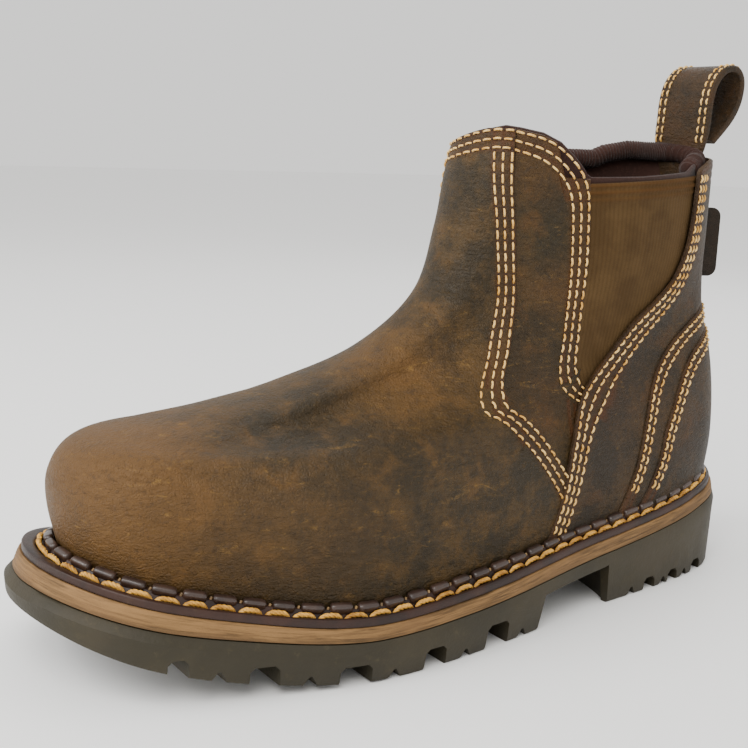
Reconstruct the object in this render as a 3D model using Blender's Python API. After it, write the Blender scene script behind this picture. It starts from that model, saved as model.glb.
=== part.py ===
"""Side gore work boot for a left foot: welted, with elastic gores and a commando sole.

The boot stands on the floor at z = 0. +X is the toe, +Y the wearer's left (the outer side of the foot)
and +Z is up. The origin lies under the middle of the heel. All sizes are metres.
"""
import bmesh
import bpy
import numpy as np

# Sizes of the last
LAST_LENGTH = 0.300
BALL_WIDTH = 0.100
COLLAR_HEIGHT = 0.190
HEEL_BACK = -0.034
HEEL_SEAT_HEIGHT = 0.045

# Sizes of the sole
SOLE_MARGIN = 0.0192
SOLE_BEHIND = 0.0060
SOLE_LENGTH = LAST_LENGTH * 0.976 + SOLE_MARGIN
SOLE_BACK = HEEL_BACK - SOLE_BEHIND
RAND_HEIGHT = 0.0064
WELT_THICKNESS = 0.0030
WEB_THICKNESS = 0.0080
TOE_SPRING = 0.0250
TOE_CURVE = 2.4
WAIST_THICKNESS = 0.0055
LUG_GROOVE = 0.0050
HEEL_GROOVE = 0.0055
LUG_REACH = 0.0240
SIDE_BREAK = 0.0035
SIDE_UPRIGHT = 0.0015
NOTCH_HALF = 0.0030
NOTCH_DEPTH = 0.0035
NOTCH_REACH = 0.0060
INSOLE_THICKNESS = 0.0045

# Sizes of the leather
WALL = 0.0018
VAMP_STEP = 0.0012
GAP = 0.0003
BACK_GAP = 0.0008
QUARTER_LEATHER = 0.0012
BAND_LEATHER = 0.0018
COUNTER_LEATHER = 0.0024
GORE_DEPTH = 0.0004
GORE_THICKNESS = 0.0013
PANEL_APART = 0.0004

# Steps up the last at which the gores and the back's leather start and stop
GORE_FOOT = 0.318
GORE_TOP = 0.872
BACK_FOOT = 0.006
QUARTER_CORNER = (2.195, 0.893)

# Sizes of the pull loop and the tab on the back
LOOP_WIDTH = 0.0294
LOOP_HEIGHT = 0.0374
LOOP_THICKNESS = 0.0032
TAIL_WIDTH = 0.0170
TAB_HEIGHT = 0.0310
TAB_REACH = 0.0155
TAB_THICKNESS = 0.0024
TAB_CORNER = 0.0040
TAB_RISE = COLLAR_HEIGHT * 0.7474
TAB_TURN = 0.50
# Where the loop leaves the boot: distance before the heel's back, share of COLLAR_HEIGHT
LOOP_FOOT = (0.0112, 0.959)
# Its sewn-in end, run and rise from there
LOOP_TAIL = ((-0.0010, -0.0010), (0.0002, -0.0162), (0.0030, -0.0162), (0.0024, -0.0010))

# Fineness of the faceted forms
ROUND_COLUMNS = 60
UPPER_ROWS = 25
SOLE_COLUMNS = 60

# How far cutters stand past the sole
BEYOND_SIDE = 0.090
BELOW_FLOOR = 0.010
BELOW_TREAD = 0.004

# Each row is one loop round the last, from under the feather line to above the collar.
# Runs are shares of LAST_LENGTH, rises of COLLAR_HEIGHT, everything else of BALL_WIDTH.
# round is the radius of the loop's end; out and in are half widths on the outer and inner side
# of the foot, at these shares of the loop's own length from the heel:
SHARES = (0.1, 0.3, 0.5, 0.7, 0.9)
LOOPS = (
    # step  toe run, rise  heel run, rise  sag   swing  round heel, toe
    #  out 1 to 5                  in 1 to 5
    (-0.06, 0.963, 0.183, -.004, 0.190, 0.000, -0.050, .28, .36,
     .300, .372, .456, .494, .340, .291, .318, .335, .452, .378),
    (0.00, 0.970, 0.215, -.006, 0.225, 0.000, -0.050, .29, .38,
     .310, .380, .468, .504, .352, .301, .330, .345, .465, .390),
    (0.07, 0.980, 0.285, -.011, 0.300, 0.000, -0.050, .30, .38,
     .316, .390, .474, .514, .366, .310, .348, .365, .480, .403),
    (0.15, 0.979, 0.349, -.011, 0.390, 0.000, -0.050, .29, .36,
     .304, .376, .452, .500, .360, .299, .342, .365, .466, .393),
    (0.23, 0.957, 0.398, -.006, 0.470, -.010, -0.048, .27, .33,
     .284, .347, .411, .457, .319, .281, .325, .347, .428, .347),
    (0.31, 0.902, 0.420, 0.003, 0.540, -.030, -0.042, .25, .26,
     .262, .325, .374, .397, .258, .259, .308, .331, .377, .275),
    (0.40, 0.810, 0.444, 0.011, 0.600, -.038, -0.030, .24, .20,
     .243, .309, .340, .329, .200, .241, .294, .316, .319, .213),
    (0.50, 0.698, 0.482, 0.016, 0.660, -.035, -0.018, .24, .17,
     .232, .300, .319, .285, .168, .231, .288, .302, .278, .172),
    (0.60, 0.584, 0.542, 0.018, 0.720, -.020, -0.008, .24, .16,
     .226, .299, .313, .272, .160, .225, .289, .300, .268, .161),
    (0.70, 0.496, 0.650, 0.018, 0.780, -.005, 0.000, .25, .17,
     .221, .305, .324, .283, .169, .221, .298, .314, .282, .169),
    (0.80, 0.464, 0.780, 0.019, 0.850, 0.000, 0.000, .26, .20,
     .223, .320, .344, .303, .187, .222, .315, .337, .302, .187),
    (0.90, 0.448, 0.900, 0.020, 0.930, 0.000, 0.000, .27, .22,
     .227, .332, .360, .322, .202, .227, .328, .355, .320, .202),
    (1.00, 0.426, 1.020, 0.018, 1.010, 0.000, 0.000, .28, .23,
     .231, .340, .372, .336, .212, .231, .338, .368, .334, .212),
)

# Height of the feather line over the floor: share of SOLE_LENGTH, share of HEEL_SEAT_HEIGHT
FEATHER = (
    (0.00, 1.010), (0.06, 0.950), (0.12, 0.880), (0.25, 0.780), (0.42, 0.695),
    (0.55, 0.625), (0.70, 0.595), (0.85, 0.765), (1.00, 1.055),
)

# Along the sole: share of SOLE_LENGTH, then millimetres for the welt's reach past the feather line,
# the tan layer's thickness, how far the rubber flares past the tan layer and how far it tapers below
SOLE_SIDES = (
    # share, reach, tan layer, flare, taper
    (0.00, 7.0, 4.5, 1.9, 1.0),
    (0.15, 8.0, 5.0, 1.2, 1.2),
    (0.35, 9.0, 5.3, 0.8, 1.8),
    (0.50, 10.0, 5.0, 1.0, 2.2),
    (0.70, 9.8, 4.7, 1.8, 1.2),
    (0.90, 12.4, 6.0, 4.0, 0.4),
    (1.00, 15.0, 6.4, 5.0, 0.4),
)

# Lines over the surface: angle from the toe (0) round to the heel (pi), and step up the loops
COLLAR_EDGE = (
    (0.00, 0.962), (0.18, 0.970), (0.38, 0.976), (0.55, 0.972), (0.76, 0.964), (0.91, 0.949),
    (1.03, 0.926), (1.11, 0.907),
    (1.18, 0.887), (1.60, 0.884), (2.12, 0.886), (2.22, 0.900), (2.45, 0.915), (3.1416, 0.925),
)
COLLAR_EDGE_INSIDE = (
    (0.00, 0.962), (0.18, 0.954), (0.38, 0.948), (0.60, 0.946), (0.80, 0.940), (0.95, 0.925), (1.08, 0.905),
    (1.18, 0.887), (1.60, 0.884), (2.12, 0.886), (2.22, 0.900), (2.45, 0.915), (3.1416, 0.925),
)
VAMP_EDGE = (
    (1.66, -0.06), (1.72, 0.010), (1.76, 0.050), (1.79, 0.094), (1.80, 0.130), (1.74, 0.182), (1.66, 0.252),
    (1.49, 0.401), (1.29, 0.520), (1.15, 0.592), (1.04, 0.643), (0.85, 0.726), (0.67, 0.843), (0.52, 0.960),
    (0.47, 1.000),
)
GORE_FRONT = (
    (1.91, 0.300), (1.90, 0.320), (1.81, 0.407), (1.64, 0.533), (1.51, 0.611), (1.41, 0.664), (1.34, 0.709),
    (1.30, 0.751), (1.24, 0.815), (1.18, 0.883), (1.12, 1.000),
)
QUARTER_EDGE = (
    (1.72, -0.06), (1.78, 0.016), (1.81, 0.055), (1.83, 0.093), (1.85, 0.138), (1.87, 0.184), (1.89, 0.250),
    (1.895, 0.341), (1.895, 0.440), (1.93, 0.552), (2.05, 0.597), (2.16, 0.635), (2.215, 0.700),
    (2.22, 0.777),
    (2.20, 0.856), (2.18, 0.920), (2.18, 1.000),
)
BAND_EDGE = (
    (2.07, 0.006), (2.12, 0.044), (2.15, 0.082), (2.18, 0.135), (2.21, 0.191), (2.25, 0.259), (2.31, 0.331),
    (2.41, 0.388), (2.62, 0.425), (2.88, 0.440), (3.1416, 0.445),
)
COUNTER_EDGE = (
    (2.17, 0.006), (2.23, 0.038), (2.27, 0.080), (2.30, 0.127), (2.36, 0.180), (2.43, 0.240), (2.52, 0.290),
    (2.68, 0.330), (2.90, 0.350), (3.1416, 0.356),
)

# Grooves between the lugs of the tread, as shares of SOLE_LENGTH from the heel: middle and width
SIDE_GROOVES = (
    (0.0850, 0.024), (0.1465, 0.021), (0.1990, 0.023), (0.5030, 0.036), (0.6010, 0.030),
    (0.7050, 0.037), (0.8045, 0.031), (0.8930, 0.021),
)
MIDDLE_GROOVES = (
    (0.1150, 0.016), (0.1750, 0.016), (0.4600, 0.018), (0.5520, 0.018), (0.6530, 0.018), (0.7550, 0.018),
    (0.8480, 0.016),
)
LUG_NOTCHES = (0.168, 0.237, 0.458, 0.554, 0.657, 0.756, 0.852, 0.117)
HEEL_BREAST = 0.282
WAIST_END = 0.420
BREAST_LEAN = 0.003
BREAST_HOLLOW = 0.009

# Side view of the pull loop's middle line: share of LOOP_WIDTH back from the collar, share of LOOP_HEIGHT up
LOOP_LINE = (
    (0.000, 0.020), (0.040, 0.300), (0.060, 0.560), (0.120, 0.740), (0.240, 0.870), (0.390, 0.940),
    (0.560, 0.950),
    (0.680, 0.880), (0.720, 0.760), (0.680, 0.580), (0.560, 0.410), (0.370, 0.250), (0.190, 0.110),
)


def eased_table(x, y, at):
    """Smooth curve through a table; y may hold several columns."""
    x = np.asarray(x, float)
    y = np.asarray(y, float)
    at = np.clip(np.asarray(at, float), x[0], x[-1])
    step = np.diff(x).reshape((-1,) + (1,) * (y.ndim - 1))
    slope = np.diff(y, axis=0) / step
    tangent = np.empty_like(y)
    tangent[1:-1] = (slope[:-1] * step[1:] + slope[1:] * step[:-1]) / (step[1:] + step[:-1])
    tangent[0] = slope[0]
    tangent[-1] = slope[-1]
    i = np.clip(np.searchsorted(x, at, side='right') - 1, 0, len(x) - 2)
    h = x[i + 1] - x[i]
    u = (at - x[i]) / h
    if y.ndim > 1:
        u = u[..., None]
        h = h[..., None]
    return ((1 + 2 * u) * (1 - u) ** 2 * y[i] + u * (1 - u) ** 2 * h * tangent[i]
            + u * u * (3 - 2 * u) * y[i + 1] + u * u * (u - 1) * h * tangent[i + 1])


def along(table, column, at):
    """One column of a table whose first column is the place along it."""
    rows = np.array(table)
    return eased_table(rows[:, 0], rows[:, column], at)


def angle_at(edge, step):
    """Angle of a line over the surface at a step up the loops."""
    rows = np.array(edge)
    return np.interp(step, rows[:, 1], rows[:, 0])


def sole_share(x):
    return (np.asarray(x) - SOLE_BACK) / SOLE_LENGTH


def feather_height(x):
    return HEEL_SEAT_HEIGHT * along(FEATHER, 1, sole_share(x))


def tan_top(x):
    return feather_height(x) - RAND_HEIGHT


def rubber_top(x):
    return tan_top(x) - along(SOLE_SIDES, 2, sole_share(x)) * 0.001


def tread(x):
    """Underside of the lugs: flat at heel and ball, rising to the toe."""
    bend = np.clip((sole_share(x) - 0.60) / 0.40, 0, None)
    return TOE_SPRING * bend ** TOE_CURVE


def groove_top(x):
    return np.maximum(rubber_top(x) - WEB_THICKNESS, tread(x) + LUG_GROOVE)


def cut_top(x):
    """Roof of the grooves: low under the heel, up to the web further forward."""
    return np.where(sole_share(x) < HEEL_BREAST, tread(x) + HEEL_GROOVE, groove_top(x))


def side_foot(x):
    """Foot of the sole's upright side, always below its widest line."""
    return np.minimum(groove_top(x), rubber_top(x) - SIDE_BREAK - SIDE_UPRIGHT)


def last_point(angle, step):
    """Point of the last's outer face. Negative angles are the inner side of the foot."""
    angle, step = np.broadcast_arrays(np.asarray(angle, float), np.asarray(step, float))
    table = np.array(LOOPS)
    row = eased_table(table[:, 0], table[:, 1:], step)
    toe_run, toe_rise, heel_run, heel_rise, sag, swing = [row[..., k] for k in range(6)]
    share = (1 + np.cos(angle)) / 2
    side = np.sin(angle)
    knots = np.array((0.0,) + SHARES + (1.0,))
    inner = knots[1:-1]
    half_widths = np.where(side[..., None] >= 0, row[..., 8:13], row[..., 13:18])
    widths = half_widths / (2 * np.sqrt(inner * (1 - inner)))
    half_length = LAST_LENGTH * (toe_run - heel_run) / 2 / BALL_WIDTH
    ends = np.sqrt(row[..., 6:8] * half_length[..., None])
    fullness = np.concatenate([ends[..., :1], widths, ends[..., 1:]], axis=-1)
    knot_step = np.diff(knots)
    slope = np.diff(fullness, axis=-1) / knot_step
    tangent = np.zeros_like(fullness)
    tangent[..., 1:-1] = ((slope[..., :-1] * knot_step[1:] + slope[..., 1:] * knot_step[:-1])
                          / (knot_step[1:] + knot_step[:-1]))
    i = np.clip(np.searchsorted(knots, share, side='right') - 1, 0, len(knots) - 2)
    h = knot_step[i]
    u = (share - knots[i]) / h

    def at(values, k):
        return np.take_along_axis(values, k[..., None], -1)[..., 0]

    width = ((1 + 2 * u) * (1 - u) ** 2 * at(fullness, i) + u * (1 - u) ** 2 * h * at(tangent, i)
             + u * u * (3 - 2 * u) * at(fullness, i + 1) + u * u * (u - 1) * h * at(tangent, i + 1))
    x = HEEL_BACK + LAST_LENGTH * (heel_run + (toe_run - heel_run) * share)
    y = BALL_WIDTH * (width * side + swing * share ** 4)
    climb = toe_rise + (heel_rise - toe_rise) * (1 - share) ** 1.4
    free = COLLAR_HEIGHT * (climb + sag * 4 * share * (1 - share))
    held = feather_height(x) + COLLAR_HEIGHT * (toe_rise - table[1, 2])
    hold = np.clip(1 - step / 0.3, 0, 1) ** 2
    return np.stack([x, y, free * (1 - hold) + held * hold], -1)


def surface(angle, step, level=0.0):
    """Point at a level above (+) or below (-) the last's face."""
    tiny = 1e-3
    here = last_point(angle, step)
    round_it = last_point(np.asarray(angle) + tiny, step) - last_point(np.asarray(angle) - tiny, step)
    up_it = last_point(angle, np.asarray(step) + tiny) - last_point(angle, np.asarray(step) - tiny)
    normal = np.cross(round_it, up_it)
    normal /= np.linalg.norm(normal, axis=-1, keepdims=True)
    level = np.broadcast_to(np.asarray(level, float), here.shape[:-1])
    return here + normal * level[..., None]


def moved_aside(line, distance):
    """A line over the surface moved sideways, to its left as it runs up the outer side."""
    points = np.asarray(line, float)
    tiny = 1e-3
    round_it = (last_point(points[:, 0] + tiny, points[:, 1]) - last_point(points[:, 0], points[:, 1])) / tiny
    up_it = (last_point(points[:, 0], points[:, 1] + tiny) - last_point(points[:, 0], points[:, 1])) / tiny
    run = np.gradient(points, axis=0)
    heading = round_it * run[:, :1] + up_it * run[:, 1:]
    heading /= np.linalg.norm(heading, axis=1, keepdims=True)
    normal = np.cross(round_it, up_it)
    normal /= np.linalg.norm(normal, axis=1, keepdims=True)
    side = np.cross(normal, heading) * distance
    out = points.copy()
    for k in range(len(points)):
        frame = np.stack([round_it[k], up_it[k]], axis=1)
        out[k] += np.linalg.lstsq(frame, side[k], rcond=None)[0]
    return out


def resampled(line, count, start=0.0, end=1.0):
    """Points spread evenly over a line by true distance, between two shares of it."""
    points = np.asarray(line, float)
    place = np.linspace(0, 1, len(points))
    fine = eased_table(place, points, np.linspace(0, 1, 400))
    real = last_point(fine[:, 0], fine[:, 1])
    far = np.concatenate([[0], np.cumsum(np.linalg.norm(np.diff(real, axis=0), axis=1))])
    far /= far[-1]
    want = np.linspace(start, end, count)
    return np.stack([np.interp(want, far, fine[:, k]) for k in range(2)], axis=1)


def mirrored(line):
    """A line that ends at the middle of the heel, carried on down the other side."""
    points = np.asarray(line, float)
    other = points[::-1][1:].copy()
    other[:, 0] = 2 * np.pi - other[:, 0]
    return np.concatenate([points, other])


def material(name, colour, roughness, metallic=0.0):
    made = bpy.data.materials.new(name)
    made.use_nodes = True
    shader = made.node_tree.nodes['Principled BSDF']
    shader.inputs['Base Color'].default_value = (*colour, 1.0)
    shader.inputs['Roughness'].default_value = roughness
    shader.inputs['Metallic'].default_value = metallic
    return made


def new_object(name, points, faces, slot, crease=30.0):
    mesh = bpy.data.meshes.new(name)
    mesh.from_pydata([tuple(float(v) for v in p) for p in points], [], faces)
    work = bmesh.new()
    work.from_mesh(mesh)
    bmesh.ops.recalc_face_normals(work, faces=work.faces)
    bmesh.ops.triangulate(work, faces=[f for f in work.faces if len(f.verts) > 3])
    if work.calc_volume(signed=True) < 0:
        bmesh.ops.reverse_faces(work, faces=work.faces)
    work.to_mesh(mesh)
    work.free()
    mesh.materials.append(slot)
    mesh.shade_smooth()
    mesh.set_sharp_from_angle(angle=np.radians(crease))
    made = bpy.data.objects.new(name, mesh)
    bpy.context.scene.collection.objects.link(made)
    return made


def sheet_solid(name, outer, inner, slot, closed=False, kept=None):
    """Solid between two grids of points. closed joins the last column to the first; kept picks cells."""
    rows, columns = outer.shape[:2]
    cells_across = columns if closed else columns - 1
    if kept is None:
        kept = np.ones((rows - 1, cells_across), bool)
    points = np.concatenate([outer.reshape(-1, 3), inner.reshape(-1, 3)])
    shift = rows * columns

    def corner(r, c):
        return r * columns + c % columns

    def is_kept(r, c):
        if closed:
            c %= cells_across
        return 0 <= r < rows - 1 and 0 <= c < cells_across and kept[r, c]

    faces = []
    for r in range(rows - 1):
        for c in range(cells_across):
            if not kept[r, c]:
                continue
            a, b, d, e = corner(r, c), corner(r, c + 1), corner(r + 1, c + 1), corner(r + 1, c)
            faces.append((a, b, d, e))
            faces.append((e + shift, d + shift, b + shift, a + shift))
            if not is_kept(r - 1, c):
                faces.append((b, a, a + shift, b + shift))
            if not is_kept(r + 1, c):
                faces.append((e, d, d + shift, e + shift))
            if not is_kept(r, c - 1):
                faces.append((a, e, e + shift, a + shift))
            if not is_kept(r, c + 1):
                faces.append((d, b, b + shift, d + shift))
    used = sorted({v for face in faces for v in face})
    number = {v: k for k, v in enumerate(used)}
    return new_object(name, points[used], [tuple(number[v] for v in face) for face in faces], slot)


def ring_solid(name, rings, slot, crease=30.0):
    """Solid from closed rings of equal count, from its top rim down to its bottom rim, capped by ladders."""
    count = len(rings[0])
    points = np.concatenate(rings)
    faces = []
    for k in range(len(rings) - 1):
        for c in range(count):
            a, b = k * count + c, k * count + (c + 1) % count
            faces.append((a, b, b + count, a + count))
    half = count // 2
    for base in (0, (len(rings) - 1) * count):
        for c in range(half):
            ladder = [c, c + 1, (count - c - 1) % count, (count - c) % count]
            distinct = []
            for v in ladder:
                if base + v not in distinct:
                    distinct.append(base + v)
            faces.append(tuple(distinct))
    return new_object(name, points, faces, slot, crease)


def sole_edge(angle, extra=0.0):
    """Plan point of the welt's edge, extra metres further out."""
    tiny = 1e-3
    here = last_point(angle, 0.0)
    run = (last_point(angle + tiny, 0.0) - last_point(angle - tiny, 0.0))[:, :2]
    run /= np.linalg.norm(run, axis=1, keepdims=True)
    out = np.stack([run[:, 1], -run[:, 0]], axis=1)
    reach = along(SOLE_SIDES, 1, sole_share(here[:, 0])) * 0.001
    return here[:, :2] + out * (reach + extra)[:, None]


def sole_ring(angle, flare, height, drop=0.0, taper=0.0):
    """Ring of the sole's side: flare and taper are shares of the table's, height a function of x."""
    share = sole_share(sole_edge(angle)[:, 0])
    extra = (along(SOLE_SIDES, 3, share) * flare - along(SOLE_SIDES, 4, share) * taper) * 0.001
    plan = sole_edge(angle, extra)
    return np.column_stack([plan, height(plan[:, 0]) - drop])


def cut_away(target, cutters):
    for number, (points, faces) in enumerate(cutters):
        tool = new_object('%s_cutter_%d' % (target.name, number), points, faces, target.data.materials[0])
        tool.hide_render = True
        tool.display_type = 'WIRE'
        cut = target.modifiers.new('cut_%d' % number, 'BOOLEAN')
        cut.operation = 'DIFFERENCE'
        cut.solver = 'EXACT'
        cut.object = tool


def prism(plan, low, high):
    """Upright prism over a plan polygon; high may be one height or one for each corner."""
    count = len(plan)
    tops = np.broadcast_to(np.asarray(high, float), (count,))
    points = [(x, y, low) for x, y in plan] + [(x, y, z) for (x, y), z in zip(plan, tops)]
    faces = [tuple(range(count))[::-1], tuple(range(count, 2 * count))]
    faces += [(k, (k + 1) % count, count + (k + 1) % count, count + k) for k in range(count)]
    return points, faces


def joined(parts):
    points = []
    faces = []
    for more_points, more_faces in parts:
        start = len(points)
        points += list(more_points)
        faces += [tuple(v + start for v in face) for face in more_faces]
    return points, faces


def along_sole(share):
    return SOLE_BACK + SOLE_LENGTH * share


def edge_width(x, side):
    """Half width of the rubber at a place along the sole, on one side of the foot."""
    angle = np.linspace(0.02, np.pi - 0.02, 200) * side
    ring = sole_edge(angle)
    order = np.argsort(ring[:, 0])
    return np.interp(x, ring[order, 0], np.abs(ring[order, 1]))


def tread_cutters():
    """Side grooves with notches, then the waist, then long and middle grooves."""
    low = -BELOW_FLOOR
    sides = []
    for middle, width in SIDE_GROOVES:
        x = along_sole(middle)
        half = width * SOLE_LENGTH / 2
        top = float(cut_top(x))
        for side in (1, -1):
            inward = edge_width(x, side) - LUG_REACH
            plan = [(x - half, side * inward), (x - half, side * BEYOND_SIDE),
                    (x + half, side * BEYOND_SIDE), (x + half, side * inward)]
            sides.append(prism(plan, low, top))
    for share in LUG_NOTCHES:
        x = along_sole(share)
        reach = NOTCH_HALF
        height = float(tread(x))
        for side in (1, -1):
            y_in = side * (edge_width(x, side) - NOTCH_REACH)
            y_out = side * BEYOND_SIDE
            section = [(x - reach, -BELOW_TREAD), (x + reach, -BELOW_TREAD), (x + reach, height),
                       (x, height + NOTCH_DEPTH), (x - reach, height)]
            points = [(a, y_in, z) for a, z in section] + [(a, y_out, z) for a, z in section]
            count = len(section)
            faces = [tuple(range(count)), tuple(range(count, 2 * count))[::-1]]
            faces += [(k, (k + 1) % count, count + (k + 1) % count, count + k) for k in range(count)]
            sides.append((points, faces))
    stations = np.linspace(along_sole(HEEL_BREAST), along_sole(WAIST_END), 6)
    tops = rubber_top(stations) - WAIST_THICKNESS
    roof = [(x, z) for x, z in zip(stations, tops)]
    roof[0] = (stations[0] + BREAST_LEAN, tops[0])
    section = [(stations[0], low), (stations[-1] + 0.004, low)] + roof[::-1]
    waist_points = [(x, -BEYOND_SIDE, z) for x, z in section] + [(x, BEYOND_SIDE, z) for x, z in section]
    count = len(section)
    waist_faces = [tuple(range(count)), tuple(range(count, 2 * count))[::-1]]
    waist_faces += [(k, (k + 1) % count, count + (k + 1) % count, count + k) for k in range(count)]
    middles = []
    for middle, width in MIDDLE_GROOVES:
        x = along_sole(middle)
        half = width * SOLE_LENGTH / 2
        outer = edge_width(x, 1) - LUG_REACH + 0.0015
        inner = edge_width(x, -1) - LUG_REACH + 0.0015
        plan = [(x - half, -inner), (x + half, -inner), (x + half, outer), (x - half, outer)]
        middles.append(prism(plan, low, float(cut_top(x)) - 0.0006))
    breast = along_sole(HEEL_BREAST)
    half = edge_width(breast, 1) - 0.004
    bow = [(breast - BREAST_HOLLOW * (1 - y * y), y * half) for y in np.linspace(1, -1, 9)]
    hollow = bow + [(breast + 0.005, -half), (breast + 0.005, half)]
    middles.append(prism(hollow[::-1], low, float(rubber_top(breast)) - WAIST_THICKNESS - 0.0015))
    return [joined(sides), (waist_points, waist_faces), joined(middles)]


def build_sole():
    angle = -np.pi + 2 * np.pi * np.arange(SOLE_COLUMNS) / SOLE_COLUMNS
    angle = np.roll(angle, SOLE_COLUMNS // 2)
    rubber = material('outsole_rubber', (0.085, 0.074, 0.052), 0.62)
    tan = material('midsole_tan', (0.36, 0.22, 0.115), 0.6)
    dark = material('welt_leather', (0.045, 0.018, 0.010), 0.4)
    board = material('insole_fabric', (0.030, 0.018, 0.016), 0.9)
    outsole = ring_solid('outsole', [
        sole_ring(angle, 0.45, rubber_top, GAP / 2),
        sole_ring(angle, 1.0, rubber_top, SIDE_BREAK),
        sole_ring(angle, 1.0, side_foot, taper=0.2),
        sole_ring(angle, 1.0, tread, taper=1.0),
    ], rubber)
    cut_away(outsole, tread_cutters())
    ring_solid('midsole', [
        sole_ring(angle, 0.0, tan_top, GAP / 2),
        sole_ring(angle, 0.45, rubber_top, -GAP / 2),
    ], tan)

    feather = surface(angle, 0.0, VAMP_STEP + GAP)
    lower = surface(angle, -0.055, VAMP_STEP + 2 * GAP)
    edge = sole_edge(angle, -0.0012)

    def welt_ring(share, rise, start=feather):
        plan = start[:, :2] + (edge - start[:, :2]) * share
        return np.column_stack([plan, tan_top(plan[:, 0]) + rise])

    profile = [
        welt_ring(0.0, GAP / 2, lower),
        welt_ring(1.0, GAP / 2),
        welt_ring(1.0, WELT_THICKNESS),
        welt_ring(0.60, WELT_THICKNESS * 0.80),
        welt_ring(0.44, RAND_HEIGHT - 0.0005),
        welt_ring(0.06, RAND_HEIGHT),
    ]
    grid = np.stack(profile + [profile[0]])
    count = SOLE_COLUMNS
    points = grid[:-1].reshape(-1, 3)
    rows = len(profile)
    faces = []
    for r in range(rows):
        for c in range(count):
            a, b = r * count + c, r * count + (c + 1) % count
            d, e = ((r + 1) % rows) * count + (c + 1) % count, ((r + 1) % rows) * count + c
            faces.append((a, b, d, e))
    new_object('welt', points, faces, dark)

    inside = surface(angle, -0.045, -WALL - GAP)

    def insole_ring(shrink, rise):
        middle = inside.mean(axis=0)
        plan = inside[:, :2] - (inside[:, :2] - middle[:2]) * shrink
        return np.column_stack([plan, tan_top(plan[:, 0]) + rise])

    ring_solid('insole', [insole_ring(0.012, GAP + INSOLE_THICKNESS), insole_ring(0.012, GAP)], board)


def upper_angles(step):
    """Angles of the upper's columns on one side at a step, so that columns follow the vamp and the gore."""
    vamp = angle_at(VAMP_EDGE, step)
    front = angle_at(GORE_FRONT, step)
    rear = angle_at(QUARTER_EDGE, step) + 0.03
    below = max(0.0, 0.30 - step)
    front = max(front - 0.25 * below, vamp + 0.05)
    rear = max(rear + 0.60 * below, front + 0.035)
    half = ROUND_COLUMNS // 2
    keys = (0, 9, 10, 14, 20, half)
    values = (0.0, vamp - 0.02, vamp, front, rear, np.pi)
    place = np.arange(half + 1)
    linear = np.interp(place, keys, values)
    return linear


def build_upper():
    leather = material('leather', (0.105, 0.062, 0.030), 0.5)
    half = ROUND_COLUMNS // 2
    gore_row = 10
    gore_foot = 0.305
    lower = np.linspace(-0.055, gore_foot, gore_row + 1)
    share_up = np.linspace(0, 1, UPPER_ROWS - gore_row)[1:]
    sides = []
    for line in (COLLAR_EDGE, COLLAR_EDGE_INSIDE):
        collar = np.array(line)
        angles = np.zeros((UPPER_ROWS, half + 1))
        steps = np.zeros((UPPER_ROWS, half + 1))
        for r in range(UPPER_ROWS):
            if r <= gore_row:
                angles[r] = upper_angles(lower[r])
                steps[r] = lower[r]
                continue
            guess = np.full(half + 1, gore_foot + (0.93 - gore_foot) * share_up[r - gore_row - 1])
            for _ in range(6):
                columns = np.array([upper_angles(s)[k] for k, s in enumerate(guess)])
                edge = np.interp(columns, collar[:, 0], collar[:, 1])
                guess = gore_foot + (edge - gore_foot) * share_up[r - gore_row - 1]
            angles[r] = columns
            steps[r] = guess
        sides.append((angles, steps))
    side_angles = np.concatenate([sides[0][0], 2 * np.pi - sides[1][0][:, -2:0:-1]], axis=1)
    side_steps = np.concatenate([sides[0][1], sides[1][1][:, -2:0:-1]], axis=1)
    level = np.zeros(side_angles.shape)
    level[:, :10] = VAMP_STEP
    level[:, -9:] = VAMP_STEP
    outer = surface(side_angles, side_steps, level)
    inner = surface(side_angles, side_steps, -WALL)
    kept = np.ones((UPPER_ROWS - 1, ROUND_COLUMNS), bool)
    kept[gore_row:, 14:20] = False
    kept[gore_row:, ROUND_COLUMNS - 20:ROUND_COLUMNS - 14] = False
    sheet_solid('upper', outer, inner, leather, closed=True, kept=kept)


def build_gores():
    elastic = material('gore_elastic', (0.115, 0.066, 0.028), 0.85)
    rows = 13
    columns = 7
    for side, name in ((1, 'gore_outer_side'), (-1, 'gore_inner_side')):
        grid_angle = np.zeros((rows, columns))
        grid_step = np.zeros((rows, columns))
        for r, share in enumerate(np.linspace(0, 1, rows)):
            step = GORE_FOOT + (GORE_TOP - GORE_FOOT) * share
            front = angle_at(GORE_FRONT, step) + 0.012
            rear = max(angle_at(QUARTER_EDGE, step) + 0.018, front + 0.010)
            grid_angle[r] = np.linspace(front, rear, columns) * side
            grid_step[r] = step
        outer = surface(grid_angle, grid_step, -GORE_DEPTH)
        inner = surface(grid_angle, grid_step, -GORE_DEPTH - GORE_THICKNESS)
        sheet_solid(name, outer, inner, elastic)


def band_between(name, first, second, across, level_low, level_high, slot):
    """Panel of leather between two lines over the surface."""
    share = np.linspace(0, 1, across + 1)[:, None, None]
    grid = first[None] * (1 - share) + second[None] * share
    outer = surface(grid[..., 0], grid[..., 1], level_high)
    inner = surface(grid[..., 0], grid[..., 1], level_low)
    sheet_solid(name, outer, inner, slot)


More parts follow.
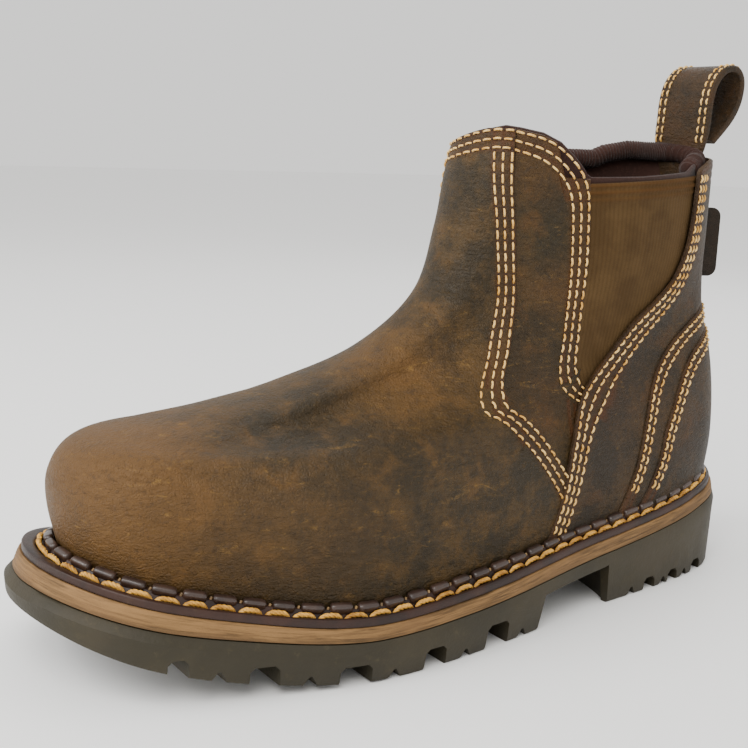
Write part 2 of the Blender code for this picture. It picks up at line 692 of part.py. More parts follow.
def build_back():
    back = material('back_leather', (0.088, 0.052, 0.026), 0.5)
    collar = np.array(COLLAR_EDGE)
    quarter = np.array(QUARTER_EDGE)
    middle = quarter[(quarter[:, 1] > 0.01) & (quarter[:, 1] < 0.88)]
    foot = [[angle_at(QUARTER_EDGE, BACK_FOOT), BACK_FOOT]]
    front = np.concatenate([foot, middle, [QUARTER_CORNER]])
    front = resampled(front, 18)
    rim_angles = np.linspace(front[-1, 0], np.pi, 9)[1:]
    rim = np.column_stack([rim_angles, np.interp(rim_angles, collar[:, 0], collar[:, 1])])
    first = np.concatenate([front, rim])
    second = resampled(moved_aside(BAND_EDGE, PANEL_APART), len(first))
    second[:, 1] = np.maximum(second[:, 1], BACK_FOOT)
    top = BACK_GAP + QUARTER_LEATHER
    band_between('back_quarter', mirrored(first), mirrored(second), 6, BACK_GAP, top, back)

    first = resampled(BAND_EDGE, 15)
    second = resampled(moved_aside(COUNTER_EDGE, PANEL_APART), 15)
    second[:, 1] = np.maximum(second[:, 1], BACK_FOOT)
    band_between('heel_band', mirrored(first), mirrored(second), 2, BACK_GAP, BACK_GAP + BAND_LEATHER, back)

    first = resampled(COUNTER_EDGE, 14)
    foot = np.column_stack([np.linspace(first[0, 0] + 0.05, np.pi, 14), np.full(14, BACK_FOOT)])
    top = BACK_GAP + COUNTER_LEATHER
    band_between('heel_counter', mirrored(first), mirrored(foot), 5, BACK_GAP, top, back)


def build_pull_loop():
    leather = material('loop_leather', (0.075, 0.046, 0.022), 0.55)
    line = np.array(LOOP_LINE) * (LOOP_WIDTH, LOOP_HEIGHT)
    place = np.linspace(0, 1, len(line))
    fine = eased_table(place, line, np.linspace(0, 1, 21))
    start = np.array([HEEL_BACK + LOOP_FOOT[0], COLLAR_HEIGHT * LOOP_FOOT[1]])
    path = np.column_stack([start[0] - fine[:, 0], start[1] + fine[:, 1]])
    run = np.gradient(path, axis=0)
    run /= np.linalg.norm(run, axis=1, keepdims=True)
    left = np.column_stack([-run[:, 1], run[:, 0]])
    hole = path + left * LOOP_THICKNESS / 2
    rim = path - left * LOOP_THICKNESS / 2
    tail = start + LOOP_TAIL
    rim = np.concatenate([rim, tail])
    foot = (hole[0] + hole[-1]) / 2 + (0.0, 0.0008)
    hole = np.concatenate([hole, np.repeat(foot[None], len(tail), axis=0)])
    hole[len(path):] += np.column_stack([np.linspace(-0.0006, 0.0006, len(tail)), np.zeros(len(tail))])
    grid = []
    half = np.full(len(rim), LOOP_WIDTH / 2)
    half[len(path):] = TAIL_WIDTH / 2
    for outline, side in ((rim, 1), (hole, 1), (hole, -1), (rim, -1)):
        grid.append(np.column_stack([outline[:, 0], half * side, outline[:, 1]]))
    count = len(rim)
    points = np.concatenate(grid)
    faces = []
    for k in range(4):
        for c in range(count):
            a, b = k * count + c, k * count + (c + 1) % count
            d, e = ((k + 1) % 4) * count + (c + 1) % count, ((k + 1) % 4) * count + c
            faces.append((a, b, d, e))
    new_object('pull_loop', points, faces, leather)


def build_back_tab():
    leather = material('tab_leather', (0.070, 0.045, 0.018), 0.55)
    reach = TAB_REACH
    tall = TAB_HEIGHT / 2
    soft = TAB_CORNER
    cut = soft * 0.3
    outline = [(0.0, -tall), (reach - soft, -tall), (reach - cut, cut - tall), (reach, soft - tall),
               (reach, tall - soft), (reach - cut, tall - cut), (reach - soft, tall), (0.0, tall)]
    points = []
    for y in (-TAB_THICKNESS / 2, TAB_THICKNESS / 2):
        for along_tab, up in outline:
            points.append((-along_tab, y, up))
    count = len(outline)
    faces = [tuple(range(count)), tuple(range(count, 2 * count))[::-1]]
    faces += [(k, (k + 1) % count, count + (k + 1) % count, count + k) for k in range(count)]
    tab = new_object('back_tab', points, faces, leather)
    steps = np.linspace(0.5, 0.92, 30)
    behind = float(surface(np.full(30, np.pi), steps, BACK_GAP + QUARTER_LEATHER)[:, 0].min())
    tab.location = (behind - GAP - TAB_THICKNESS / 2 * np.sin(TAB_TURN), 0.0, TAB_RISE)
    tab.rotation_euler = (0.0, 0.0, -TAB_TURN)


for old in list(bpy.data.objects):
    bpy.data.objects.remove(old, do_unlink=True)

build_sole()
build_upper()
build_gores()
build_back()
build_pull_loop()
build_back_tab()
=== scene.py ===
"""Looks of the side gore work boot, made piece by piece in the order a bootmaker puts it together."""
import math

import bmesh
import bpy
import numpy as np
from mathutils import Matrix, Vector


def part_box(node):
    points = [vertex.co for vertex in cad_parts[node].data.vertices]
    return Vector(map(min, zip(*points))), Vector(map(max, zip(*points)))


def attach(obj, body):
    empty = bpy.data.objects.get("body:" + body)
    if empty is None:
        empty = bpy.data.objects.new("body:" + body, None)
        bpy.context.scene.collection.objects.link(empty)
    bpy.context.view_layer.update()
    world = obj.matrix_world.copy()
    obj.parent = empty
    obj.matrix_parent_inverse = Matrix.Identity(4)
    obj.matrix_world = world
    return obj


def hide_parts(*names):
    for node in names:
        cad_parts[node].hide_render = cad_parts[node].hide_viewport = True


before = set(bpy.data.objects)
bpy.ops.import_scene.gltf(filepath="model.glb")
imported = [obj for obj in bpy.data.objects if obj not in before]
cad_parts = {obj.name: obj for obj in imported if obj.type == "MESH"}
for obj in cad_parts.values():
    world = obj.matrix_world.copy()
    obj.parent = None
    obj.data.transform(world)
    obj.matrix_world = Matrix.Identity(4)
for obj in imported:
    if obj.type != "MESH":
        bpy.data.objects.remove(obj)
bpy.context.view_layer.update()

# Vamp: the front of the boot, cut in one piece from oiled, waxed cowhide and pulled wet over the last
# and a hard toe cap. Its rear edges lap over the side panels and are held by three rows of stitches.
LAST_LENGTH = 0.300
BALL_WIDTH = 0.100
COLLAR_HEIGHT = 0.190
HEEL_BACK = -0.034
HEEL_SEAT_HEIGHT = 0.045
SOLE_LENGTH = 0.312
SOLE_BACK = -0.040
WALL = 0.0018
VAMP_STEP = 0.0012
SHARES = (0.1, 0.3, 0.5, 0.7, 0.9)
# The last that shapes every piece sewn to it. Each row is one loop round it: runs as shares of its
# length, rises as shares of the collar's height, and the rest as shares of the ball's width.
LOOPS = (
    (-0.06, 0.963, 0.183, -.004, 0.190, 0.000, -0.050, .28, .36,
     .300, .372, .456, .494, .340, .291, .318, .335, .452, .378),
    (0.00, 0.970, 0.215, -.006, 0.225, 0.000, -0.050, .29, .38,
     .310, .380, .468, .504, .352, .301, .330, .345, .465, .390),
    (0.07, 0.980, 0.285, -.011, 0.300, 0.000, -0.050, .30, .38,
     .316, .390, .474, .514, .366, .310, .348, .365, .480, .403),
    (0.15, 0.979, 0.349, -.011, 0.390, 0.000, -0.050, .29, .36,
     .304, .376, .452, .500, .360, .299, .342, .365, .466, .393),
    (0.23, 0.957, 0.398, -.006, 0.470, -.010, -0.048, .27, .33,
     .284, .347, .411, .457, .319, .281, .325, .347, .428, .347),
    (0.31, 0.902, 0.420, 0.003, 0.540, -.030, -0.042, .25, .26,
     .262, .325, .374, .397, .258, .259, .308, .331, .377, .275),
    (0.40, 0.810, 0.444, 0.011, 0.600, -.038, -0.030, .24, .20,
     .243, .309, .340, .329, .200, .241, .294, .316, .319, .213),
    (0.50, 0.698, 0.482, 0.016, 0.660, -.035, -0.018, .24, .17,
     .232, .300, .319, .285, .168, .231, .288, .302, .278, .172),
    (0.60, 0.584, 0.542, 0.018, 0.720, -.020, -0.008, .24, .16,
     .226, .299, .313, .272, .160, .225, .289, .300, .268, .161),
    (0.70, 0.496, 0.650, 0.018, 0.780, -.005, 0.000, .25, .17,
     .221, .305, .324, .283, .169, .221, .298, .314, .282, .169),
    (0.80, 0.464, 0.780, 0.019, 0.850, 0.000, 0.000, .26, .20,
     .223, .320, .344, .303, .187, .222, .315, .337, .302, .187),
    (0.90, 0.448, 0.900, 0.020, 0.930, 0.000, 0.000, .27, .22,
     .227, .332, .360, .322, .202, .227, .328, .355, .320, .202),
    (1.00, 0.426, 1.020, 0.018, 1.010, 0.000, 0.000, .28, .23,
     .231, .340, .372, .336, .212, .231, .338, .368, .334, .212),
)
FEATHER = (
    (0.00, 1.010), (0.06, 0.950), (0.12, 0.880), (0.25, 0.780), (0.42, 0.695),
    (0.55, 0.625), (0.70, 0.595), (0.85, 0.765), (1.00, 1.055),
)
COLLAR_EDGE = (
    (0.00, 0.962), (0.18, 0.970), (0.38, 0.976), (0.55, 0.972), (0.76, 0.964), (0.91, 0.949), (1.03, 0.926),
    (1.11, 0.907), (1.18, 0.887), (1.60, 0.884), (2.12, 0.886), (2.22, 0.900), (2.45, 0.915), (3.1416, 0.925),
)
COLLAR_EDGE_INSIDE = (
    (0.00, 0.962), (0.18, 0.954), (0.38, 0.948), (0.60, 0.946), (0.80, 0.940), (0.95, 0.925), (1.08, 0.905),
    (1.18, 0.887), (1.60, 0.884), (2.12, 0.886), (2.22, 0.900), (2.45, 0.915), (3.1416, 0.925),
)
VAMP_EDGE = (
    (1.88, -0.06), (1.88, 0.010), (1.88, 0.050), (1.87, 0.070), (1.80, 0.130), (1.74, 0.182), (1.66, 0.252),
    (1.49, 0.401), (1.29, 0.520), (1.15, 0.592), (1.04, 0.643), (0.85, 0.726), (0.67, 0.843), (0.52, 0.960),
    (0.47, 1.000),
)
MM = 0.001
TINY = 1e-3
UPPER_FOOT = -0.06
VAMP_TOP = {1: 0.972, -1: 0.947}
# Millimetres in from a sewn edge: where the mesh is fine enough for the rounded edge and pulled-in rows
RIM = (0, .07, .22, .45, .8, 1.3, 1.8, 2.5, 3.3, 4.1, 4.7, 5.3, 6.0, 6.8, 7.5, 8.1, 8.7, 9.6, 11.0)
SEAM_ROWS = (1.3, 4.7, 8.1)
ROW_DENT = 0.00022
EDGE_ROUND = 0.0009
DENT_SPREAD = 0.0006
STAIN_SPREAD = 0.0011
FAR_FROM_EDGE = 0.02


def unit(vectors):
    return vectors / np.linalg.norm(vectors, axis=-1, keepdims=True)


def way_along(points):
    """Distance run at each point of a line."""
    return np.concatenate([[0], np.cumsum(np.linalg.norm(np.diff(points, axis=0), axis=1))])


def eased(u, h, low, high, low_slope, high_slope):
    """Cubic between two values with a slope at each."""
    return ((1 + 2 * u) * (1 - u) ** 2 * low + u * (1 - u) ** 2 * h * low_slope
            + u * u * (3 - 2 * u) * high + u * u * (u - 1) * h * high_slope)


def eased_table(x, y, at):
    """Smooth curve through a table; y may hold several columns."""
    x = np.asarray(x, float)
    y = np.asarray(y, float)
    at = np.clip(np.asarray(at, float), x[0], x[-1])
    step = np.diff(x).reshape((-1,) + (1,) * (y.ndim - 1))
    slope = np.diff(y, axis=0) / step
    tangent = np.empty_like(y)
    tangent[1:-1] = (slope[:-1] * step[1:] + slope[1:] * step[:-1]) / (step[1:] + step[:-1])
    tangent[0] = slope[0]
    tangent[-1] = slope[-1]
    i = np.clip(np.searchsorted(x, at, side="right") - 1, 0, len(x) - 2)
    h = x[i + 1] - x[i]
    u = (at - x[i]) / h
    if y.ndim > 1:
        u = u[..., None]
        h = h[..., None]
    return eased(u, h, y[i], y[i + 1], tangent[i], tangent[i + 1])


def along(table, column, at):
    rows = np.array(table)
    return eased_table(rows[:, 0], rows[:, column], at)


def angle_at(edge, step):
    rows = np.array(edge)
    return np.interp(step, rows[:, 1], rows[:, 0])


def collar_at(angle):
    """Step of the collar's edge at an angle, on either side of the foot."""
    rows = np.array(COLLAR_EDGE)
    inside = np.array(COLLAR_EDGE_INSIDE)
    turn = np.abs((np.asarray(angle) + np.pi) % (2 * np.pi) - np.pi)
    outer = np.interp(turn, rows[:, 0], rows[:, 1])
    return np.where(np.sin(angle) >= 0, outer, np.interp(turn, inside[:, 0], inside[:, 1]))


def sole_share(x):
    return (np.asarray(x) - SOLE_BACK) / SOLE_LENGTH


def feather_height(x):
    return HEEL_SEAT_HEIGHT * along(FEATHER, 1, sole_share(x))


def last_point(angle, step):
    """Point of the last's face: angle 0 is the toe, pi the heel, negative angles the foot's inner side."""
    angle, step = np.broadcast_arrays(np.asarray(angle, float), np.asarray(step, float))
    table = np.array(LOOPS)
    row = eased_table(table[:, 0], table[:, 1:], step)
    toe_run, toe_rise, heel_run, heel_rise, sag, swing = [row[..., k] for k in range(6)]
    share = (1 + np.cos(angle)) / 2
    side = np.sin(angle)
    knots = np.array((0.0,) + SHARES + (1.0,))
    inner = knots[1:-1]
    round_width = 2 * np.sqrt(inner * (1 - inner))
    widths = np.where(side[..., None] >= 0, row[..., 8:13], row[..., 13:18]) / round_width
    half_length = LAST_LENGTH * (toe_run - heel_run) / 2 / BALL_WIDTH
    ends = np.sqrt(row[..., 6:8] * half_length[..., None])
    fullness = np.concatenate([ends[..., :1], widths, ends[..., 1:]], axis=-1)
    knot_step = np.diff(knots)
    slope = np.diff(fullness, axis=-1) / knot_step
    tangent = np.zeros_like(fullness)
    tangent[..., 1:-1] = ((slope[..., :-1] * knot_step[1:] + slope[..., 1:] * knot_step[:-1])
                          / (knot_step[1:] + knot_step[:-1]))
    i = np.clip(np.searchsorted(knots, share, side="right") - 1, 0, len(knots) - 2)
    h = knot_step[i]
    u = (share - knots[i]) / h

    def at(values, k):
        return np.take_along_axis(values, k[..., None], -1)[..., 0]

    width = eased(u, h, at(fullness, i), at(fullness, i + 1), at(tangent, i), at(tangent, i + 1))
    x = HEEL_BACK + LAST_LENGTH * (heel_run + (toe_run - heel_run) * share)
    y = BALL_WIDTH * (width * side + swing * share ** 4)
    rise = toe_rise + (heel_rise - toe_rise) * (1 - share) ** 1.4 + sag * 4 * share * (1 - share)
    held = feather_height(x) + COLLAR_HEIGHT * (toe_rise - table[1, 2])
    hold = np.clip(1 - step / 0.3, 0, 1) ** 2
    return np.stack([x, y, COLLAR_HEIGHT * rise * (1 - hold) + held * hold], -1)


def face_normal(angle, step):
    round_it = last_point(np.asarray(angle) + TINY, step) - last_point(np.asarray(angle) - TINY, step)
    up_it = last_point(angle, np.asarray(step) + TINY) - last_point(angle, np.asarray(step) - TINY)
    return unit(np.cross(round_it, up_it))


def surface(angle, step, level=0.0):
    """Point at a level above or below the last's face."""
    here = last_point(angle, step)
    level = np.broadcast_to(np.asarray(level, float), here.shape[:-1])
    return here + face_normal(angle, step) * level[..., None]


def moved_aside(line, distance):
    """A line over the last moved sideways, to its left as it runs up the outer side."""
    points = np.asarray(line, float)
    round_it = (last_point(points[:, 0] + TINY, points[:, 1]) - last_point(points[:, 0], points[:, 1])) / TINY
    up_it = (last_point(points[:, 0], points[:, 1] + TINY) - last_point(points[:, 0], points[:, 1])) / TINY
    run = np.gradient(points, axis=0)
    heading = unit(round_it * run[:, :1] + up_it * run[:, 1:])
    side = np.cross(unit(np.cross(round_it, up_it)), heading) * distance
    aa = (round_it * round_it).sum(1)
    ab = (round_it * up_it).sum(1)
    bb = (up_it * up_it).sum(1)
    ar = (round_it * side).sum(1)
    br = (up_it * side).sum(1)
    whole = aa * bb - ab * ab
    return points + np.stack([(ar * bb - br * ab) / whole, (br * aa - ar * ab) / whole], axis=1)


def resampled(line, count, start=0.0, end=1.0):
    """Points spread evenly over a line by true distance, between two shares of it."""
    points = np.asarray(line, float)
    place = np.linspace(0, 1, len(points))
    fine = eased_table(place, points, np.linspace(0, 1, 600))
    far = way_along(last_point(fine[:, 0], fine[:, 1]))
    far /= far[-1]
    want = np.linspace(start, end, count)
    return np.stack([np.interp(want, far, fine[:, k]) for k in range(2)], axis=1)


def rim_lines(line, side, rim=RIM):
    """Copies of an edge moved into its panel by each distance of the rim."""
    return [line if d == 0 else moved_aside(line, side * d * MM) for d in rim]


def rounded_off(distance, radius=EDGE_ROUND):
    """How far a cut edge falls away at a distance from it."""
    near = np.clip(radius - distance, 0, radius)
    return radius - np.sqrt(radius * radius - near * near)


def pulled_in(distance, rows=SEAM_ROWS):
    """How far the thread pulls the leather in at a distance from the edge."""
    return sum(ROW_DENT * np.exp(-((distance - row * MM) / DENT_SPREAD) ** 2) for row in rows)


def linked(name, data):
    """A new object in the scene."""
    holder = bpy.data.objects.new(name, data)
    bpy.context.scene.collection.objects.link(holder)
    return holder


def fitted(piece, node=None):
    """Fixes a piece to the frame, and hides the solid of the model that it takes the place of."""
    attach(piece, "root")
    if node:
        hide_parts(node)
    return piece


def new_piece(name, points, faces, finish, node=None, slot=None, sharp=50.0, uv=None):
    mesh = bpy.data.meshes.new(name)
    mesh.from_pydata(np.asarray(points, float).tolist(), [], faces)
    mesh.materials.append(finish)
    mesh.shade_smooth()
    mesh.set_sharp_from_angle(angle=math.radians(sharp))
    if uv is not None:
        layer = mesh.uv_layers.new(name="plan")
        corners = np.empty(len(mesh.loops), np.int32)
        mesh.loops.foreach_get("vertex_index", corners)
        layer.data.foreach_set("uv", np.asarray(uv, np.float32)[corners].ravel())
    return fitted(linked(name + "_finished" if name == node else name, mesh), node)


def sheet(name, outer, inner, finish, closed=False, **more):
    """Closed solid between two grids of points; closed joins the last column to the first."""
    rows, columns = outer.shape[:2]
    cells = columns if closed else columns - 1
    shift = rows * columns
    r, c = np.meshgrid(np.arange(rows - 1), np.arange(cells), indexing="ij")
    a = (r * columns + c).ravel()
    b = (r * columns + (c + 1) % columns).ravel()
    faces = [np.stack([a, b, b + columns, a + columns], 1),
             np.stack([a + columns, b + columns, b, a], 1) + shift]
    c = np.arange(cells)
    low, low_next = c, (c + 1) % columns
    high, high_next = low + (rows - 1) * columns, low_next + (rows - 1) * columns
    faces.append(np.stack([low_next, low, low + shift, low_next + shift], 1))
    faces.append(np.stack([high, high_next, high_next + shift, high + shift], 1))
    if not closed:
        r = np.arange(rows - 1) * columns
        faces.append(np.stack([r, r + columns, r + columns + shift, r + shift], 1))
        r = r + columns - 1
        faces.append(np.stack([r + columns, r, r + shift, r + columns + shift], 1))
    points = np.concatenate([outer.reshape(-1, 3), inner.reshape(-1, 3)])
    return new_piece(name, points, np.concatenate(faces).tolist(), finish, **more)


class Wire:
    """One value in a recipe of nodes. Sums written on it add Math nodes."""

    def __init__(self, recipe, socket):
        self.recipe = recipe
        self.socket = socket

    def math(self, operation, *others, clamp=False):
        node = self.recipe.tree.nodes.new("ShaderNodeMath")
        node.operation = operation
        node.use_clamp = clamp
        for k, value in enumerate((self,) + others):
            self.recipe.feed(node.inputs[k], value)
        return Wire(self.recipe, node.outputs[0])

    def __add__(self, other):
        return self.math("ADD", other)

    def __sub__(self, other):
        return self.math("SUBTRACT", other)

    def __mul__(self, other):
        return self.math("MULTIPLY", other)

    def __truediv__(self, other):
        return self.math("DIVIDE", other)

    def __pow__(self, other):
        return self.math("POWER", other)

    def __rsub__(self, other):
        return (self * -1.0) + other

    __radd__ = __add__
    __rmul__ = __mul__

    def held(self):
        """The value kept between 0 and 1."""
        return self.math("ADD", 0.0, clamp=True)

    def of(self, name):
        """Another output of the same node."""
        return Wire(self.recipe, self.socket.node.outputs[name])


class Recipe:
    """A tree of nodes, for a finish or for something that repeats."""

    def __init__(self, tree):
        self.tree = tree

    def feed(self, socket, value):
        if isinstance(value, list):
            for one in value:
                self.feed(socket, one)
        elif isinstance(value, Wire):
            self.tree.links.new(value.socket, socket)
        else:
            socket.default_value = value

    def node(self, kind, settings=None, out=0, **sockets):
        """A node of any kind: its settings first, then the values or links of its sockets."""
        node = self.tree.nodes.new(kind)
        for key, value in (settings or {}).items():
            setattr(node, key, value)
        for key, value in sockets.items():
            found = [s for s in node.inputs if s.identifier == key or s.name == key.replace("_", " ")]
            self.feed(found[0], value)
        if isinstance(out, str):
            out = [s.identifier for s in node.outputs].index(out)
        return Wire(self, node.outputs[out])


def tint(code, alpha=1.0):
    """Linear colour from a six-figure screen colour."""
    parts = [int(code[k:k + 2], 16) / 255 for k in (0, 2, 4)]
    return tuple(v / 12.92 if v <= 0.04045 else ((v + 0.055) / 1.055) ** 2.4 for v in parts) + (alpha,)


class Finish(Recipe):
    """A material built round one Principled shader."""

    def __init__(self, name, **fixed):
        self.material = bpy.data.materials.new(name)
        self.material.use_nodes = True
        super().__init__(self.material.node_tree)
        self.shader = self.tree.nodes["Principled BSDF"]
        self.set(**fixed)
        self.place = self.node("ShaderNodeTexCoord", out="Object")

    def set(self, **values):
        for key, value in values.items():
            self.feed(self.shader.inputs[key.replace("_", " ")], value)

    def noise(self, scale, detail=3.0, roughness=0.5, stretch=None, place=None, offset=0.0, distortion=0.0):
        place = place or self.place
        if stretch or offset:
            place = self.node("ShaderNodeMapping", Vector=place, Scale=stretch or (1, 1, 1),
                              Location=(offset, offset * 0.7, offset * 1.3))
        return self.node("ShaderNodeTexNoise", Vector=place, Scale=scale, Detail=detail, Roughness=roughness,
                         Distortion=distortion)

    def mix(self, share, first, second, blend="MIX"):
        return self.node("ShaderNodeMix", {"data_type": "RGBA", "blend_type": blend}, out="Result_Color",
                         Factor_Float=share, A_Color=first, B_Color=second)

    def wash(self, base, *layers):
        """A base colour with others laid over it in turn, each by its own share."""
        colour = tint(base)
        for share, code in layers:
            colour = self.mix(share, colour, tint(code))
        return colour
    def spread(self, value, low, high, soft=True):
        """The value stretched so that low becomes 0 and high 1."""
        kind = "SMOOTHSTEP" if soft else "LINEAR"
        return self.node("ShaderNodeMapRange", {"interpolation_type": kind}, Value=value, From_Min=low,
                         From_Max=high)

    def cracks(self, scale):
        """Distance to the nearest line between cells."""
        return self.node("ShaderNodeTexVoronoi", {"feature": "DISTANCE_TO_EDGE"}, Vector=self.place,
                         Scale=scale)

    def mark(self, name):
        return self.node("ShaderNodeAttribute", {"attribute_name": name}, out="Fac")

    def relief(self, *layers):
        """Stacks bumps, each a height and its depth in metres."""
        bump = None
        for height, depth in layers:
            sockets = {"Height": height, "Distance": depth, "Strength": 1.0}
            if bump:
                sockets["Normal"] = bump
            bump = self.node("ShaderNodeBump", **sockets)
        self.set(Normal=bump)


def leather(name, body="423013", dark="261d0b", warm="573c19", pale="916f36", shift=0.0):
    """Oiled, waxed and buffed cowhide: mottled olive brown, darker along seams and pale where rubbed, with
    painted shade and a painted highlight laid on by marks.
    """
    look = Finish(name, Specular_IOR_Level=0.26)
    broad = look.noise(24, 4, 0.62, offset=shift, distortion=0.5)
    cloud = look.noise(75, 5, 0.68, offset=shift + 3, distortion=0.3)
    fleck = look.noise(380, 5, 0.72, offset=shift + 5)
    dust = look.noise(1500, 3, 0.6)
    streak = look.noise(120, 5, 0.65, stretch=(0.5, 0.6, 2.6), offset=shift + 9, distortion=1.6)
    mottle = broad * 0.50 + cloud * 0.32 + fleck * 0.18
    warmth = look.mark("warm") * (0.35 + cloud * 0.9) + look.spread(cloud, 0.52, 0.72) * 0.35
    warmth = warmth + look.spread(broad, 0.54, 0.75) * 0.25
    rubbed = look.spread(streak, 0.56, 0.74) * look.spread(fleck, 0.42, 0.66)
    scratch = look.spread(look.cracks(55.0), 0.008, 0.002) * look.spread(streak, 0.54, 0.66)
    specks = look.spread(dust, 0.58, 0.76) * look.spread(fleck, 0.42, 0.62)
    # The shade mark lays painted shade on the hide; the scuff mark pales it for wear and, on the instep, for
    # a painted highlight.
    look.set(Base_Color=look.wash(
        dark, (look.spread(mottle, 0.43, 0.56), body), (warmth, warm),
        (look.mark("shade") * look.spread(cloud, 0.85, 0.25), dark),
        (rubbed * (look.mark("scuff") * 0.75 + 0.16), pale), (scratch * 0.22, pale), (specks * 0.25, pale),
        (look.spread(fleck, 0.46, 0.34) * 0.30, "1d150b"), (look.mark("seam") * 0.80, "43250a")))
    look.set(Roughness=(0.44 + cloud * 0.20 - look.mark("shade") * 0.08 + rubbed * 0.1).held())
    folds = look.noise(200, 4, 0.6, stretch=(1.0, 1.0, 2.4), offset=shift + 2, distortion=1.8)
    look.relief((folds, 0.0009), (look.spread(look.cracks(800.0), 0.0, 0.25), 0.0001), (dust, 0.00018))
    return look.material


def marked(piece, angle, step, seams, patches=()):
    """Writes marks for warm colour, painted shade, scuffs with painted highlight, and seams on a piece, with
    one angle and step for each of its points.
    """
    spots = last_point(angle.ravel(), step.ravel())
    repeat = len(piece.data.vertices) // len(spots)
    totals = {key: np.zeros(len(spots)) for key in ("warm", "shade", "scuff")}
    for where, tall, size, *amounts in patches:
        near = np.exp(-((spots - last_point(where, tall)) ** 2).sum(1) / (size * MM) ** 2)
        for key, amount in zip(totals, amounts):
            totals[key] += near * amount
    totals["seam"] = seams.ravel()
    for key, values in totals.items():
        layer = piece.data.attributes.new(key, "FLOAT", "POINT")
        layer.data.foreach_set("value", np.tile(values, repeat).astype(np.float32))


def seam_stain(distance, rows=SEAM_ROWS):
    """Darkening along stitch rows, at a distance from the edge in metres."""
    return np.clip(sum(np.exp(-((distance - row * MM) / STAIN_SPREAD) ** 2) for row in rows), 0, 1)


# Broad changes of colour placed on the boot: angle, step, size in mm, then warm, painted shade, and scuffs
# with painted highlight
VAMP_PATCHES = (
    (0.30, 0.10, 46, 0.75, 0.00, 0.20),
    (-0.30, 0.20, 40, 0.60, 0.00, 0.15),
    (0.60, 0.16, 30, 0.50, 0.00, 0.40),
    (0.10, 0.30, 22, 0.30, 0.00, 0.45),
    (0.62, 0.40, 24, 0.00, 0.85, 0.05),
    (0.85, 0.30, 26, 0.05, 0.70, 0.10),
    (0.95, 0.50, 22, 0.55, 0.00, 0.35),
    (0.50, 0.72, 18, 0.00, 0.85, 0.00),
    # Painted highlight: a warm, paler patch on the front of the shaft.
    (0.38, 0.58, 22, 0.60, 0.00, 0.45),
    (0.30, 0.90, 18, 0.00, 0.75, 0.00),
    (1.30, 0.16, 30, 0.05, 0.45, 0.30),
    (1.05, 0.12, 24, 0.40, 0.10, 0.30),
    (1.50, 0.26, 22, 0.05, 0.50, 0.10),
)
# Soft creases in the vamp: from and to as angle and step, then width and depth in mm
VAMP_CREASES = (
    (0.62, 0.30, 0.45, 0.42, 7.0, 1.1),
    (0.80, 0.34, 0.70, 0.47, 5.0, 0.8),
    (1.00, 0.22, 1.15, 0.38, 6.0, 0.6),
    (0.35, 0.52, 0.80, 0.55, 5.0, 0.9),
    (0.42, 0.60, 0.78, 0.66, 4.5, 0.8),
    (-0.45, 0.45, -0.85, 0.40, 6.0, 0.8),
    (0.70, 0.60, 0.50, 0.76, 5.0, -0.7),
    (1.20, 0.20, 1.25, 0.08, 6.0, 0.45),
    (-0.60, 0.58, -0.40, 0.70, 5.0, 0.7),
)


def creased(points, creases):
    """Depth of the listed creases at each point of the last's face."""
    depth = np.zeros(points.shape[:-1])
    for a0, s0, a1, s1, width, deep in creases:
        start, end = last_point(a0, s0), last_point(a1, s1)
        run = end - start
        share = np.clip(((points - start) @ run) / (run @ run), 0, 1)
        gap = np.linalg.norm(points - start - share[..., None] * run, axis=-1)
        ends = 0.35 + 0.65 * np.sin(np.pi * share)
        depth += deep * MM * ends * np.exp(-(gap / (width * MM)) ** 2)
    return depth


def top_shares(rows, tall=170.0):
    """Shares up a panel, even below and crowded near the collar's stitches."""
    top = 1 - np.array(RIM)[::-1] / tall
    return np.concatenate([np.linspace(0, top[0], rows + 1)[:-1], top])


def fall_from_top(points):
    """Distance of each grid point from the top row, down its own column."""
    legs = np.linalg.norm(np.diff(points, axis=0), axis=-1)
    return np.concatenate([np.cumsum(legs[::-1], axis=0)[::-1], np.zeros((1, points.shape[1]))])


def rim_columns(lines):
    """Columns of a sewn edge: angle, step and distance from the edge."""
    return [(line[:, 0], line[:, 1], d * MM) for line, d in zip(lines, RIM)]


def grids(columns):
    """Angles, steps and distances from the sewn edge as three grids."""
    return [np.stack([np.broadcast_to(column[k], column[0].shape) for column in columns], 1)
            for k in range(3)]


def vamp_grid(rows=150, middle=130):
    """Angles and steps of the vamp, and each point's distance from its nearer sewn side edge."""
    shares = top_shares(rows)
    rims = []
    for side in (1, -1):
        step = UPPER_FOOT + (VAMP_TOP[side] - UPPER_FOOT) * shares
        rims.append(rim_lines(np.stack([angle_at(VAMP_EDGE, step) * side, step], 1), side))
    right, left = rims
    columns = rim_columns(right)
    for t in np.linspace(0, 1, middle + 2)[1:-1]:
        angle = right[-1][:, 0] * (1 - t) + left[-1][:, 0] * t
        across = right[-1][:, 1] * (1 - t) + left[-1][:, 1] * t
        level_row = UPPER_FOOT + (collar_at(angle) - UPPER_FOOT) * shares
        blend = np.clip(np.minimum(t, 1 - t) / 0.12, 0, 1)
        blend = blend * blend * (3 - 2 * blend)
        columns.append((angle, across * (1 - blend) + level_row * blend, FAR_FROM_EDGE))
    columns += rim_columns(left)[::-1]
    return [grid[:, ::-1] for grid in grids(columns)]


angle, step, aside = vamp_grid()
fall = fall_from_top(last_point(angle, step))
level = (VAMP_STEP - rounded_off(aside) - rounded_off(fall) - pulled_in(aside) - pulled_in(fall)
         - creased(last_point(angle, step), VAMP_CREASES))
vamp = sheet("vamp", surface(angle, step, level), surface(angle, step, -WALL), leather("vamp_leather"),
             node="upper", slot="leather")
marked(vamp, angle, step, np.maximum(seam_stain(aside), seam_stain(fall)), VAMP_PATCHES)

